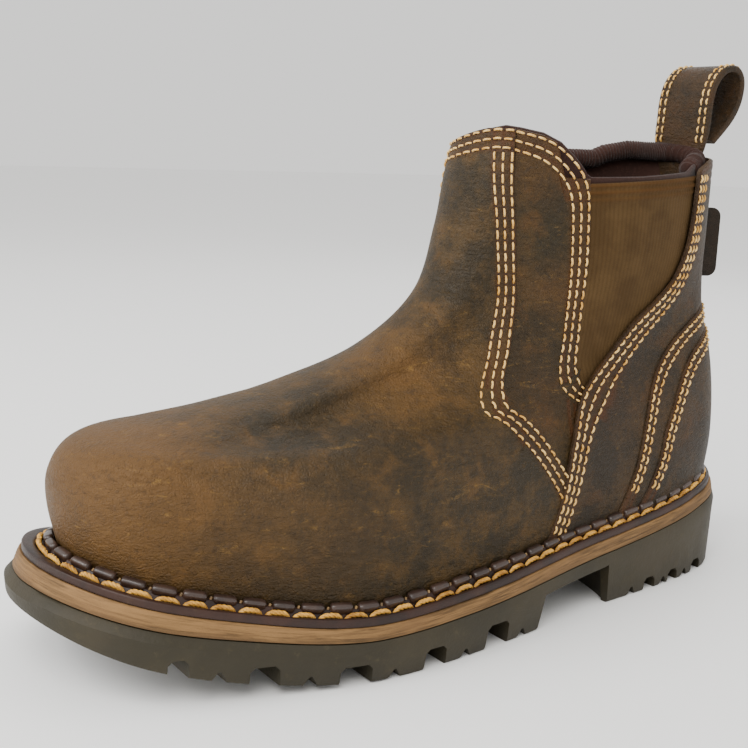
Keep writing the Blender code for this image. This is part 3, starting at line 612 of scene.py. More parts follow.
# Side panels: one on each side between the vamp and the elastic, of the same hide in a greener cut.
# The vamp laps over their front edge; their rear edge is sewn down over the elastic.
GORE_FRONT = (
    (1.91, 0.300), (1.90, 0.320), (1.81, 0.407), (1.64, 0.533), (1.51, 0.611), (1.41, 0.664), (1.34, 0.709),
    (1.30, 0.751), (1.24, 0.815), (1.18, 0.883), (1.12, 1.000),
)
PANEL_LAP = 0.004
PANEL_TOP = 0.889
GORE_FOOT = 0.300
GORE_HEAD = 0.880
# The side panels' patches, in the vamp's columns; their shade amounts are painted shade.
SIDE_PATCHES = (
    (0.80, 0.90, 16, 0.35, 0.0, 0.30), (0.95, 0.80, 14, 0.0, 0.55, 0.1), (1.15, 0.70, 12, 0.45, 0.1, 0.50),
    (1.35, 0.52, 16, 0.30, 0.2, 0.35), (1.60, 0.40, 18, 0.10, 0.5, 0.10), (1.75, 0.28, 14, 0.45, 0.0, 0.40),
)
side_leather = leather("side_leather", body="38290f", dark="221b09", warm="4f310d", shift=7.0)


def side_panel(name, side):
    shares = top_shares(90)
    front_step = UPPER_FOOT + (VAMP_TOP[side] - UPPER_FOOT) * shares
    front = np.stack([angle_at(VAMP_EDGE, front_step) + PANEL_LAP, front_step], 1)
    rear_step = UPPER_FOOT + (PANEL_TOP - UPPER_FOOT) * shares
    below = 1.90 + 0.05 * np.clip((GORE_FOOT - rear_step) / GORE_FOOT, 0, 1)
    rear_angle = np.where(rear_step > GORE_FOOT, angle_at(GORE_FRONT, rear_step), below)
    rim = rim_lines(np.stack([rear_angle, rear_step], 1), 1)
    columns = []
    for t in np.linspace(0, 1, 35)[:-1]:
        angle = front[:, 0] * (1 - t) + rim[-1][:, 0] * t
        straight = front[:, 1] * (1 - t) + rim[-1][:, 1] * t
        level_row = UPPER_FOOT + (collar_at(angle * side) - UPPER_FOOT) * shares
        blend = np.clip((1 - t) / 0.25, 0, 1)
        columns.append((angle, straight * (1 - blend) + level_row * blend, FAR_FROM_EDGE))
    angle, step, aside = grids(columns + rim_columns(rim)[::-1])
    fall = fall_from_top(last_point(angle, step))
    level = -rounded_off(aside) - rounded_off(fall) - pulled_in(aside) - pulled_in(fall)
    if side < 0:
        angle, step, level, aside, fall = [grid[:, ::-1] for grid in (-angle, step, level, aside, fall)]
    piece = sheet(name, surface(angle, step, level), surface(angle, step, -WALL), side_leather,
                  slot="leather")
    patches = [(a * side, s, size, warm, shade, scuff) for a, s, size, warm, shade, scuff in SIDE_PATCHES]
    marked(piece, angle, step, np.maximum(seam_stain(aside), seam_stain(fall)), patches)
    return piece


side_panel("side_panel_outer", 1)
side_panel("side_panel_inner", -1)

# Elastic gores: woven rubber-cored webbing let in on each side so the foot goes in without laces.
# The weave stands in fine upright ribs, and its top is turned down and sewn as a band of three ridges.
QUARTER_EDGE = (
    (1.72, -0.06), (1.78, 0.016), (1.81, 0.055), (1.83, 0.093), (1.85, 0.138), (1.87, 0.184), (1.89, 0.250),
    (1.895, 0.341), (1.895, 0.440), (1.93, 0.552), (2.05, 0.597), (2.16, 0.635), (2.215, 0.700),
    (2.22, 0.777), (2.20, 0.856), (2.18, 0.920), (2.18, 1.000),
)
GORE_DEPTH = 0.0004
GORE_THICKNESS = 0.0013
RIB_PITCH = 0.0011
GORE_RIDGES = ((0.9, 0.75), (3.6, 0.85), (6.4, 0.45))
RIDGE_SPREAD = 0.00095


def webbing():
    look = Finish("gore_webbing", Specular_IOR_Level=0.12)
    plan = look.node("ShaderNodeUVMap", {"uv_map": "plan"})
    waves = {"wave_type": "BANDS", "wave_profile": "SIN"}
    rib = look.node("ShaderNodeTexWave", {**waves, "bands_direction": "X"}, Vector=plan,
                    Scale=1 / RIB_PITCH / 3.14159 * 0.5, Distortion=0.6, Detail=2.0, Detail_Scale=1.5)
    pick = look.node("ShaderNodeTexWave", {**waves, "bands_direction": "Y"}, Vector=plan, Scale=420.0,
                     Distortion=1.0)
    tone = look.noise(60, 4, 0.6)
    fuzz = look.noise(1400, 3, 0.6)
    # Painted shade: the weave is darker in the grooves between its ribs.
    look.set(Roughness=0.82, Base_Color=look.wash(
        "42321d", (look.spread(tone, 0.35, 0.65), "503e26"), (look.spread(rib, 0.55, 0.1) * 0.22, "291804"),
        (look.mark("seam") * 0.5, "50310f"), (fuzz * 0.25, "452b0d")))
    look.relief((rib, 0.00008), (pick, 0.00004), (fuzz, 0.00006))
    return look.material


gore_webbing = webbing()
for side, name in ((1, "gore_outer_side"), (-1, "gore_inner_side")):
    rows, columns = 110, 60
    share = np.concatenate([np.linspace(0, 0.86, 50)[:-1], np.linspace(0.86, 1, rows - 49)])
    step = GORE_FOOT + (GORE_HEAD - GORE_FOOT) * share
    front = angle_at(GORE_FRONT, step) - 0.03
    rear = np.maximum(angle_at(QUARTER_EDGE, step) + 0.05, front + 0.02)
    t = np.linspace(0, 1, columns)[None]
    angle = (front[:, None] * (1 - t) + rear[:, None] * t) * side
    step = np.tile(step[:, None], (1, columns))
    if side < 0:
        angle = angle[:, ::-1]
    real = last_point(angle, step)
    fall = fall_from_top(real)
    fold = np.zeros_like(fall)
    for ridge, size in GORE_RIDGES:
        fold += size * MM * np.exp(-((fall - ridge * MM) / RIDGE_SPREAD) ** 2)
    level = -GORE_DEPTH - GORE_THICKNESS * 0.35 + fold
    legs = np.cumsum(np.linalg.norm(np.diff(real, axis=1), axis=-1), axis=1)
    run = np.concatenate([np.zeros((rows, 1)), legs], 1)
    uv = np.stack([run, fall], -1).reshape(-1, 2)
    gore = sheet(name, surface(angle, step, level), surface(angle, step, -GORE_DEPTH - GORE_THICKNESS),
                 gore_webbing, node=name, slot="elastic", uv=np.concatenate([uv, uv]))
    marked(gore, angle, step, np.clip(fold / 0.0008, 0, 1))

# Back quarter, heel strap and heel counter: three layers of the same hide wrapped round the heel, each
# lapped over the one in front with a thick turned edge, the quarter on three rows and the others on two.
BACK_GAP = 0.0006
QUARTER_LEATHER = 0.0016
BAND_LEATHER = 0.0023
COUNTER_LEATHER = 0.0030
HEEL_ROWS = (1.4, 4.6)
QUARTER_CORNER = (2.195, 0.893)
LAYER_FOOT = -0.02
COUNTER_FOOT_FRONT = 2.20
BAND_EDGE = (
    (2.07, -0.01), (2.12, 0.044), (2.15, 0.082), (2.18, 0.135), (2.21, 0.191), (2.25, 0.259), (2.31, 0.331),
    (2.41, 0.388), (2.62, 0.425), (2.88, 0.440), (3.1416, 0.445),
)
COUNTER_EDGE = (
    (2.17, -0.01), (2.23, 0.038), (2.27, 0.080), (2.30, 0.127), (2.36, 0.180), (2.43, 0.240), (2.52, 0.290),
    (2.68, 0.330), (2.90, 0.350), (3.1416, 0.356),
)
# The back layers' patches, in the vamp's columns; their shade amounts are painted shade.
BACK_PATCHES = (
    (1.98, 0.10, 16, 0.05, 0.2, 0.10), (2.05, 0.40, 18, 0.00, 0.60, 0.00), (2.10, 0.22, 16, 0.20, 0.0, 0.25),
    (2.60, 0.62, 22, 0.30, 0.1, 0.20), (2.60, 0.20, 20, 0.05, 0.30, 0.10), (2.40, 0.12, 14, 0.25, 0.0, 0.30),
    (4.25, 0.40, 24, 0.20, 0.3, 0.20), (3.60, 0.20, 24, 0.15, 0.2, 0.20),
)
# Darker than the vamp's hide: painted shade, for the light falling off towards the heel.
back_leather = leather("back_leather", body="372813", dark="231a0c", warm="472b0f", shift=13.0)


def mirrored(line):
    """A line that ends at the middle of the heel, carried on down the other side."""
    points = np.asarray(line, float)
    other = points[::-1][1:].copy()
    other[:, 0] = 2 * np.pi - other[:, 0]
    return np.concatenate([points, other])


def back_layer(name, first, second, thickness, rows, across=26, tail_gap=True, count=150):
    """A layer from its sewn edge to the next one's, both given from the outer side to the heel's middle."""
    first = mirrored(resampled(first, count))
    second = mirrored(resampled(second, count))
    rim = RIM[:13] if len(rows) == 2 else RIM
    head = [first] + [moved_aside(first, -d * MM) for d in rim[1:]]
    columns = list(head)
    aside = [d * MM for d in rim]
    for t in np.linspace(0, 1, across + 1)[1:]:
        columns.append(head[-1] * (1 - t) + second * t)
        aside.append(0.02)
    aside = np.tile(np.array(aside)[:, None], (1, columns[0].shape[0]))[::-1]
    angle, step = np.moveaxis(np.stack(columns, 0)[::-1], -1, 0)
    level = BACK_GAP + thickness - rounded_off(aside, thickness * 0.7) - pulled_in(aside, rows)
    if tail_gap:
        behind = fall_from_top(last_point(angle, step)[::-1])[::-1]
        level = level - 0.0006 * np.exp(-(behind / 0.0012) ** 2)
    piece = sheet(name, surface(angle, step, level), surface(angle, step, BACK_GAP * 0.5), back_leather,
                  node=name, slot="back_leather")
    marked(piece, angle, step, seam_stain(aside, rows), BACK_PATCHES)
    return piece


quarter_line = [(angle_at(QUARTER_EDGE, LAYER_FOOT), LAYER_FOOT)]
quarter_line += [p for p in QUARTER_EDGE if 0.01 < p[1] < 0.88] + [QUARTER_CORNER]
quarter_line += [(a, float(collar_at(a))) for a in np.linspace(QUARTER_CORNER[0], np.pi, 9)[1:]]
foot_line = [(COUNTER_FOOT_FRONT + (np.pi - COUNTER_FOOT_FRONT) * t, LAYER_FOOT)
             for t in np.linspace(0, 1, 12)]
back_layer("back_quarter", quarter_line, BAND_EDGE, QUARTER_LEATHER, SEAM_ROWS, across=40, count=190)
back_layer("heel_band", BAND_EDGE, COUNTER_EDGE, BAND_LEATHER, HEEL_ROWS, across=8)
back_layer("heel_counter", COUNTER_EDGE, foot_line, COUNTER_LEATHER, HEEL_ROWS, across=40, tail_gap=False)

# Lining: soft dark brown cloth glued to the flesh side of the leather. Round the back of the collar it is
# rolled over foam into a ribbed pad that stands above the elastic.
LINING_THICKNESS = 0.0016
ROLL_RADIUS = 0.0040
LINING_GAP = 0.0002
LINING_FOOT = -0.03
LINING_PAST_COLLAR = 0.005
ROLL_POINTS = 520
ROLL_LIFT = (
    (-4.05, 0.000), (-3.60, 0.006), (-3.14, 0.014), (-2.50, 0.030), (-1.90, 0.040), (-1.40, 0.036),
    (-1.18, 0.016),
)
ROLL_SINK = 0.012
RIBS_APART = 5.2


def lining_cloth(name, body="22130e", ribbed=False):
    look = Finish(name, Specular_IOR_Level=0.2, Sheen_Weight=0.15, Sheen_Roughness=0.5, Roughness=0.92)
    tone = look.noise(70, 4, 0.6)
    pile = look.noise(900, 4, 0.7)
    look.set(Base_Color=look.wash(body, (tone, "38211a"), (look.spread(pile, 0.5, 0.75) * 0.5, "4c322a")))
    look.relief((pile, 0.0004 if ribbed else 0.0002))
    return look.material


angle = np.linspace(-np.pi, np.pi, 200, endpoint=False)
shares = np.concatenate([np.linspace(0, 0.97, 60), (0.985, 0.994, 0.998, 1.0)])
top = collar_at(angle) + LINING_PAST_COLLAR
step = LINING_FOOT + (top[None] - LINING_FOOT) * shares[:, None]
turns = np.tile(angle, (len(shares), 1))
round_top = rounded_off(fall_from_top(last_point(turns, step)), 0.0008)
sheet("lining", surface(turns, step, -WALL - LINING_GAP - round_top),
      surface(turns, step, -WALL - LINING_THICKNESS + round_top), lining_cloth("lining_cloth"), closed=True,
      slot="insole_fabric")


def ring_faces(rows, columns, joined=False):
    """Quads between rings of points, one ring after another; joined carries the last ring on to the first."""
    return [(r * columns + c, r * columns + (c + 1) % columns,
             (r + 1) % rows * columns + (c + 1) % columns, (r + 1) % rows * columns + c)
            for r in range(rows if joined else rows - 1) for c in range(columns)]


def end_faces(rows, columns):
    """One flat face over the first ring and one over the last."""
    return [tuple(range(columns))[::-1], tuple((rows - 1) * columns + c for c in range(columns))]
def tube(name, path, side, radius, around, finish, squash=1.0, **more):
    """Closed tube along a path. side is a vector across it for each point; radius is one for each point."""
    run = unit(np.gradient(path, axis=0))
    side = unit(side - run * (side * run).sum(1, keepdims=True))
    other = np.cross(run, side)
    turn = np.linspace(0, 2 * np.pi, around, endpoint=False)
    rings = path[:, None] + radius[:, None, None] * (side[:, None] * np.cos(turn)[None, :, None] * squash
                                                      + other[:, None] * np.sin(turn)[None, :, None])
    faces = ring_faces(len(path), around) + end_faces(len(path), around)
    return new_piece(name, rings.reshape(-1, 3), faces, finish, **more)


turn = np.linspace(-1.18, -2 * np.pi + 2.24, ROLL_POINTS)
wrapped = (turn + np.pi) % (2 * np.pi) - np.pi
lift = np.interp(turn, *zip(*ROLL_LIFT))
centre = surface(wrapped, collar_at(wrapped) + lift - ROLL_SINK, -WALL - ROLL_RADIUS * 0.85)
places = np.arange(ROLL_POINTS)
ends = np.clip(np.minimum(places, places[::-1]) / 9.0, 0.03, 1)
ribs = 1 + 0.06 * np.sin(places * 2 * np.pi / RIBS_APART)
roll_cloth = lining_cloth("roll_cloth", "24130e", ribbed=True)
roll = tube("collar_roll", centre, face_normal(wrapped, collar_at(wrapped)),
            ROLL_RADIUS * np.sqrt(1 - (1 - ends) ** 2) * ribs, 18, roll_cloth, slot="insole_fabric")

# Pull loop: a strap of the same hide, folded over itself and sewn along both edges, its two ends set
# between the quarter and the lining at the heel.
LOOP_WIDTH = 0.0294
LOOP_HEIGHT = 0.0374
LOOP_THICKNESS = 0.0030
LOOP_LINE = (
    (0.000, 0.020), (0.040, 0.300), (0.060, 0.560), (0.120, 0.740), (0.240, 0.870), (0.390, 0.940),
    (0.560, 0.950), (0.680, 0.880), (0.720, 0.760), (0.680, 0.580), (0.560, 0.410), (0.370, 0.250),
    (0.190, 0.110),
)
LOOP_FOOT = (-0.0228, 0.1822)
LOOP_TAIL = ((-0.0226, 0.1660), (-0.0229, 0.1740))
loop_leather = leather("loop_leather", body="35230c", dark="211707", warm="42250a", shift=21.0)


def loop_path(count):
    """The strap's middle line, seen from the side, and the way out of it at each point."""
    line = np.array(LOOP_LINE) * (LOOP_WIDTH, LOOP_HEIGHT)
    fine = eased_table(np.linspace(0, 1, len(line)), line, np.linspace(0, 1, count))
    path = np.column_stack([LOOP_FOOT[0] - fine[:, 0], LOOP_FOOT[1] + fine[:, 1]])
    run = unit(np.gradient(path, axis=0))
    return path, np.column_stack([run[:, 1], -run[:, 0]])


def rounded_box(half_width, half_height, corner, back_corner, steps):
    """Outline of a rectangle with rounded corners, those on its negative side with a radius of their own."""
    points = []
    for sx, sy, start in ((1, 1, 0), (-1, 1, 90), (-1, -1, 180), (1, -1, 270)):
        soft = corner if sx > 0 else back_corner
        for k in range(steps + 1):
            a = math.radians(start + 90 * k / steps)
            points.append((sx * (half_width - soft) + soft * math.cos(a),
                           sy * (half_height - soft) + soft * math.sin(a)))
    return np.array(points)


count = 110
path, out_side = loop_path(count)
path = np.concatenate([LOOP_TAIL, path])
out_side = np.concatenate([np.tile([[1.0, 0.0]], (2, 1)), out_side])
half = LOOP_WIDTH / 2
width = np.interp(np.arange(count), (0, 6, count - 1), (0.0138, half, half))
width = np.concatenate([[0.0088, 0.0100], width])
pinch = np.interp(np.arange(count), (0, 8, count - 12, count - 1), (0.75, 1.0, 1.0, 0.7))
pinch = np.concatenate([[0.6, 0.7], pinch])
rings = []
for p, o, w, t in zip(path, out_side, width, pinch):
    section = rounded_box(w, LOOP_THICKNESS / 2 * t, 0.0009, 0.0009, 3)
    middle = np.array((p[0], 0.0, p[1]))
    rings.append(middle + section[:, :1] * (0, 1, 0) + section[:, 1:] * np.array((o[0], 0.0, o[1])))
around = len(rings[0])
faces = ring_faces(len(rings), around) + end_faces(len(rings), around)
new_piece("pull_loop", np.concatenate(rings), [face[::-1] for face in faces], loop_leather, node="pull_loop",
          slot="loop_leather")

# Back tab: a small flag of leather with rounded corners, sewn into the heel seam and left plain here.
TAB_REACH = 0.0155
TAB_HEIGHT = 0.0310
TAB_THICKNESS = 0.0024
TAB_RISE = 0.1420
TAB_TURN = 0.50
TAB_EDGES = ((0.0007, -0.5), (0.0002, -0.42), (0.0, -0.28), (0.0, 0.28), (0.0002, 0.42), (0.0007, 0.5))


def faced_out(piece):
    """Turns every face of a closed piece outwards."""
    work = bmesh.new()
    work.from_mesh(piece.data)
    bmesh.ops.recalc_face_normals(work, faces=work.faces)
    if work.calc_volume(signed=True) < 0:
        bmesh.ops.reverse_faces(work, faces=work.faces)
    work.to_mesh(piece.data)
    work.free()
    return piece


middle = np.array((TAB_REACH / 2, 0.0))
outline = rounded_box(TAB_REACH / 2, TAB_HEIGHT / 2, 0.0040, 0.0006, 6) + middle
tab_rings = []
for inset, depth in TAB_EDGES:
    plan = outline - unit(outline - middle) * inset
    tab_rings.append(np.column_stack([-plan[:, 0], np.full(len(plan), depth * TAB_THICKNESS), plan[:, 1]]))
turn_back = np.array(Matrix.Rotation(-TAB_TURN, 3, "Z"))
points = np.concatenate(tab_rings) @ turn_back.T
points[:, 0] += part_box("back_tab")[1][0] - points[:, 0].max()
points[:, 2] += TAB_RISE
faces = ring_faces(len(tab_rings), len(outline)) + end_faces(len(tab_rings), len(outline))
tab_leather = leather("tab_leather", body="201404", dark="160e03", warm="271705", pale="453012", shift=31.0)
faced_out(new_piece("back_tab", points, faces, tab_leather, node="back_tab", slot="tab_leather"))

# Stitches: waxed cream thread, one arch of it standing between two needle holes, in rows 3.4 mm apart.
# The thread pulls the leather in and stains it rust brown round the holes.
STITCH_PITCH = 0.0042
STITCH_LENGTH = 0.0030
THREAD_THICKNESS = 0.00090
THREAD_RISE = 0.00042
STITCH_LIFT = 0.0001
LOOP_STITCH_INSETS = (0.0017, 0.0046)


def thread(name, body, dark):
    look = Finish(name, Roughness=0.55, Specular_IOR_Level=0.4)
    twist = look.node("ShaderNodeTexNoise", Vector=look.place, Scale=1500.0, Detail=2.0)
    tone = look.noise(160, 3, 0.6)
    # Painted shade: the thread is darker in the grooves of its twist.
    look.set(Base_Color=look.wash(body, (look.spread(tone, 0.35, 0.7), dark),
                                  (look.spread(twist, 0.6, 0.4) * 0.3, "7c4f1e")))
    look.relief((twist, 0.00015))
    return look.material


def new_tree(name, pitch, *more):
    """A tree of Geometry Nodes with a guide, a pitch and a seed, and more inputs as name, kind and value."""
    inputs = (("Guide", "Geometry", None), ("Pitch", "Float", pitch), ("Seed", "Int", 1),
              ("Thread", "Material", None)) + more
    tree = bpy.data.node_groups.new(name, "GeometryNodeTree")
    tree.interface.new_socket(name="Geometry", in_out="OUTPUT", socket_type="NodeSocketGeometry")
    for label, kind, value in inputs:
        socket = tree.interface.new_socket(name=label, in_out="INPUT", socket_type="NodeSocket" + kind)
        if value is not None:
            socket.default_value = value
    work = Recipe(tree)
    return work, work.node("NodeGroupInput")


def set_along(work, given, instance, wobble):
    """Copies of an instance along guide lines, X along the line and Z along the stored outward vector."""
    lines = work.node("GeometryNodeMeshToCurve", Mesh=given.of("Guide"))
    spaced = work.node("GeometryNodeResampleCurve", {"mode": "LENGTH"}, Curve=lines,
                       Length=given.of("Pitch"))
    tangent = work.node("GeometryNodeInputTangent")
    outward = work.node("GeometryNodeInputNamedAttribute", {"data_type": "FLOAT_VECTOR"}, Name="outward")
    turned = work.node("FunctionNodeAlignRotationToVector", {"axis": "X"}, Vector=tangent)
    turned = work.node("FunctionNodeAlignRotationToVector", {"axis": "Z", "pivot_axis": "X"}, Rotation=turned,
                       Vector=outward)
    size = work.node("FunctionNodeRandomValue", {"data_type": "FLOAT_VECTOR"}, Min=(1 - wobble, 0.92, 0.9),
                     Max=(1 + wobble * 0.6, 1.08, 1.1), Seed=given.of("Seed"))
    return work.node("GeometryNodeInstanceOnPoints", Points=spaced, Instance=instance, Rotation=turned,
                     Scale=size)


def vector(work, x=0.0, y=0.0, z=0.0):
    return work.node("ShaderNodeCombineXYZ", X=x, Y=y, Z=z)


def close_tree(work, given, instance, wobble=0.10):
    """Ends a tree with copies of an instance along its guide lines."""
    copies = set_along(work, given, instance, wobble)
    real = work.node("GeometryNodeRealizeInstances", Geometry=copies)
    smooth = work.node("GeometryNodeSetShadeSmooth", Geometry=real)
    work.feed(work.tree.nodes.new("NodeGroupOutput").inputs[0], smooth)
    return work.tree


def coloured(work, geometry, finish):
    return work.node("GeometryNodeSetMaterial", Geometry=geometry, Material=finish)


def joined(work, *parts):
    return work.node("GeometryNodeJoinGeometry", Geometry=list(parts))


def arc(work, steps, start, middle, end):
    """A bent line through the pull of its middle point."""
    return work.node("GeometryNodeCurveQuadraticBezier", Resolution=steps, Start=vector(work, *start),
                     Middle=vector(work, *middle), End=vector(work, *end))


def strand(work, line, radius):
    """Six-sided strand along a line."""
    ring = work.node("GeometryNodeCurvePrimitiveCircle", {"mode": "RADIUS"}, Resolution=6, Radius=radius)
    return work.node("GeometryNodeCurveToMesh", Curve=line, Profile_Curve=ring, Fill_Caps=True)


def stitch_tree():
    work, given = new_tree("stitch_row", STITCH_PITCH, ("Length", "Float", STITCH_LENGTH),
                           ("Thickness", "Float", THREAD_THICKNESS), ("Rise", "Float", THREAD_RISE),
                           ("Hole", "Material", None))
    half = given.of("Length") * 0.5
    radius = given.of("Thickness") * 0.5
    rise = given.of("Rise")
    arch = arc(work, 6, (half * -1.0, 0.0, rise * -1.3), (0.0, 0.0, rise * 2.4), (half, 0.0, rise * -1.3))
    arch = coloured(work, strand(work, arch, radius), given.of("Thread"))
    # Painted shade: a flat dark disc sunk at each needle hole.
    hole = work.node("GeometryNodeMeshIcoSphere", Radius=radius, Subdivisions=1)
    hole = work.node("GeometryNodeTransform", Geometry=hole, Scale=(1.35, 1.0, 0.28),
                     Translation=vector(work, given.of("Pitch") * 0.5, 0.0, rise * -0.5))
    both = joined(work, arch, coloured(work, hole, given.of("Hole")))
    return close_tree(work, given, both)


def grown(name, lines, tree, values):
    """Keeps the mesh that a tree makes on guide lines, each given as its points and outward vectors."""
    points, outward, edges = [], [], []
    for line, normals in lines:
        start = sum(len(p) for p in points)
        points.append(line)
        outward.append(normals)
        edges += [(start + k, start + k + 1) for k in range(len(line) - 1)]
    mesh = bpy.data.meshes.new(name + "_guide")
    mesh.from_pydata(np.concatenate(points).tolist(), edges, [])
    layer = mesh.attributes.new("outward", "FLOAT_VECTOR", "POINT")
    layer.data.foreach_set("vector", np.concatenate(outward).astype(np.float32).ravel())
    guide = linked(name + "_guide", mesh)
    modifier = guide.modifiers.new("grow", "NODES")
    modifier.node_group = tree
    for item in tree.interface.items_tree:
        if item.in_out == "INPUT" and item.name in values:
            modifier[item.identifier] = values[item.name]
    evaluated = guide.evaluated_get(bpy.context.evaluated_depsgraph_get())
    made = bpy.data.meshes.new_from_object(evaluated)
    made.name = name
    bpy.data.objects.remove(guide)
    return fitted(linked(name, made))


def on_last(line, level, count=90, start=0.0, end=1.0):
    spots = resampled(line, count, start, end)
    return surface(spots[:, 0], spots[:, 1], level), face_normal(spots[:, 0], spots[:, 1])


def eased_line(line, times):
    """The line with its sharp bends smoothed away, its ends kept."""
    line = np.array(line, float)
    for _ in range(int(times)):
        line[1:-1] = (line[:-2] + 2 * line[1:-1] + line[2:]) / 4
    return line


def beside(line, distance):
    """A stitch row at a distance in millimetres to the left of a line over the last."""
    return eased_line(moved_aside(eased_line(resampled(line, 90), 6), distance * MM), 5 + abs(distance) * 5)


def rows_beside(line, side, level, rows=SEAM_ROWS, start=0.0, end=1.0):
    return [on_last(beside(line, side * row), level, 120, start, end) for row in rows]


cream_thread = thread("cream_thread", "ecc67e", "c8943f")
# Dark colour of the needle-hole discs, painted shade in the holes.
needle_hole = Finish("needle_hole", Roughness=0.8, Base_Color=tint("27150b"))
hole_tone = needle_hole.noise(300, 2, 0.5)
needle_hole.set(Base_Color=needle_hole.mix(hole_tone, tint("1e1009"), tint("3b2211")))
stitches = stitch_tree()
stitch_values = {"Thread": cream_thread, "Hole": needle_hole.material}

vamp_line = [p for p in VAMP_EDGE if 0.06 < p[1] < 0.90] + [(0.57, 0.925)]
lines = []
for side in (1, -1):
    lines += rows_beside([(a * side, s) for a, s in vamp_line], side, VAMP_STEP + STITCH_LIFT)
turns = np.linspace(-0.47, 0.47, 60)
for row in SEAM_ROWS:
    line = moved_aside(np.stack([turns, collar_at(turns)], 1), -row * MM)
    lines.append(on_last(line, VAMP_STEP + STITCH_LIFT, 60, 0.02, 0.98))
grown("vamp_stitches", lines, stitches, {**stitch_values, "Seed": 3})

lines = []
for side, edge in ((1, COLLAR_EDGE), (-1, COLLAR_EDGE_INSIDE)):
    line = [p for p in GORE_FRONT if 0.31 < p[1] < 0.82] + [(1.195, 0.868)]
    line += [p for p in edge[::-1] if 0.54 < p[0] < 1.15]
    lines += rows_beside([(a * side, s) for a, s in line], side, STITCH_LIFT)
grown("side_panel_stitches", lines, stitches, {**stitch_values, "Seed": 5})


def round_heel(line, rows, level):
    made = []
    for row in rows:
        side = beside(line, -row)
        side[-1, 0] = np.pi
        made.append(on_last(mirrored(side), level, 260))
    return made


quarter_seam = [p for p in QUARTER_EDGE if 0.0 <= p[1] < 0.88] + [(2.197, 0.875)]
lines = []
for row in SEAM_ROWS:
    side = beside(quarter_seam, -row)
    for half_line in (side, side * (-1, 1) + (2 * np.pi, 0)):
        lines.append(on_last(half_line, BACK_GAP + QUARTER_LEATHER + STITCH_LIFT, 160))
for edge, thickness in ((BAND_EDGE, BAND_LEATHER), (COUNTER_EDGE, COUNTER_LEATHER)):
    lines += round_heel([p for p in edge if p[1] > 0], HEEL_ROWS, BACK_GAP + thickness + STITCH_LIFT)
grown("back_stitches", lines, stitches, {**stitch_values, "Seed": 7})

path, out_side = loop_path(120)
spots = (path + out_side * (LOOP_THICKNESS / 2))[4:104]
out_side = out_side[4:104]
normals = np.column_stack([out_side[:, 0], np.zeros(100), out_side[:, 1]])
lines = []
for y in (-1, 1):
    for inset in LOOP_STITCH_INSETS:
        line = np.column_stack([spots[:, 0], np.full(100, y * (LOOP_WIDTH / 2 - inset)), spots[:, 1]])
        lines.append((line + normals * STITCH_LIFT, normals))
grown("loop_stitches", lines, stitches, {**stitch_values, "Pitch": 0.0038, "Length": 0.0028, "Seed": 9})

# Insole: a moulded footbed covered in dark cloth and dished under the heel. It is laid loose on the
# insole board inside the boot and is seen only down the shaft.
RAND_HEIGHT = 0.0064
BED_RINGS = (
    (0.05, 0.0045), (0.30, 0.0042), (0.60, 0.0046), (0.90, 0.0056), (0.985, 0.0058), (1.0, 0.0050),
    (1.0, 0.0006),
)
BED_THICKNESS = 0.004
outline_angle = np.linspace(-np.pi, np.pi, 160, endpoint=False)
bed_edge = surface(outline_angle, -0.035, -WALL - LINING_THICKNESS - 0.0006)


def tan_top(x):
    return feather_height(x) - RAND_HEIGHT


def ladder_faces(rows, columns):
    """Rungs of quads across the first ring and across the last."""
    rungs = [(c, c + 1, (columns - c - 1) % columns, (columns - c) % columns) for c in range(columns // 2)]
    return [tuple(dict.fromkeys(base + v for v in rung))
            for base in (0, (rows - 1) * columns) for rung in rungs]


bed_rings = []
centre_x = np.clip(bed_edge[:, 0], 0.0, 0.20)
for share, rise in BED_RINGS:
    x = centre_x + (bed_edge[:, 0] - centre_x) * share
    bed_rings.append(np.column_stack([x, bed_edge[:, 1] * share, tan_top(x) + rise]))
bed_rings.append(bed_rings[0] - (0, 0, BED_THICKNESS))
bed = np.stack(bed_rings[::-1])
rows, columns = bed.shape[:2]
faced_out(new_piece("insole", bed.reshape(-1, 3), ring_faces(rows, columns) + ladder_faces(rows, columns),
                    lining_cloth("footbed_cloth", "2a2220"), node="insole", slot="insole_fabric"))
# Welt and rand: a strip of dark, waxed red-brown leather laid round the boot on the tan layer, with a
# channel for the lock stitch, and against the upper a raised rand cut into short glossy blocks.
WELT_THICKNESS = 0.0030
GAP = 0.0003
SOLE_SIDES = (
    (0.00, 7.0, 4.5, 1.9, 1.0),
    (0.15, 8.0, 5.0, 1.2, 1.2),
    (0.35, 9.0, 5.3, 0.8, 1.8),
    (0.50, 10.0, 5.0, 1.0, 2.2),
    (0.70, 9.8, 4.7, 1.8, 1.2),
    (0.90, 12.4, 6.0, 4.0, 0.4),
    (1.00, 15.0, 6.4, 5.0, 0.4),
)
BLOCK_PITCH = 0.0100
BLOCK_SIZE = (0.0080, 0.0032, 0.0044)
CORD_PITCH = 0.0092
CORD_LENGTH = 0.0078
STRAND_RADIUS = 0.00056
STRAND_TURNS = 1.6


def sole_edge(angle, extra=0.0):
    """Plan point of the welt's edge, extra metres further out."""
    here = last_point(angle, 0.0)
    run = unit((last_point(angle + TINY, 0.0) - last_point(angle - TINY, 0.0))[:, :2])
    outwards = np.stack([run[:, 1], -run[:, 0]], axis=1)
    reach = along(SOLE_SIDES, 1, sole_share(here[:, 0])) * MM
    return here[:, :2] + outwards * (reach + extra)[:, None]


def even_angles(count):
    """Angles that space points evenly round the sole's edge, from the heel on the inner side and round."""
    dense = np.linspace(-np.pi, np.pi, 2001)
    far = way_along(sole_edge(dense))
    return np.interp(np.linspace(0, far[-1], count, endpoint=False), far, dense), far[-1]


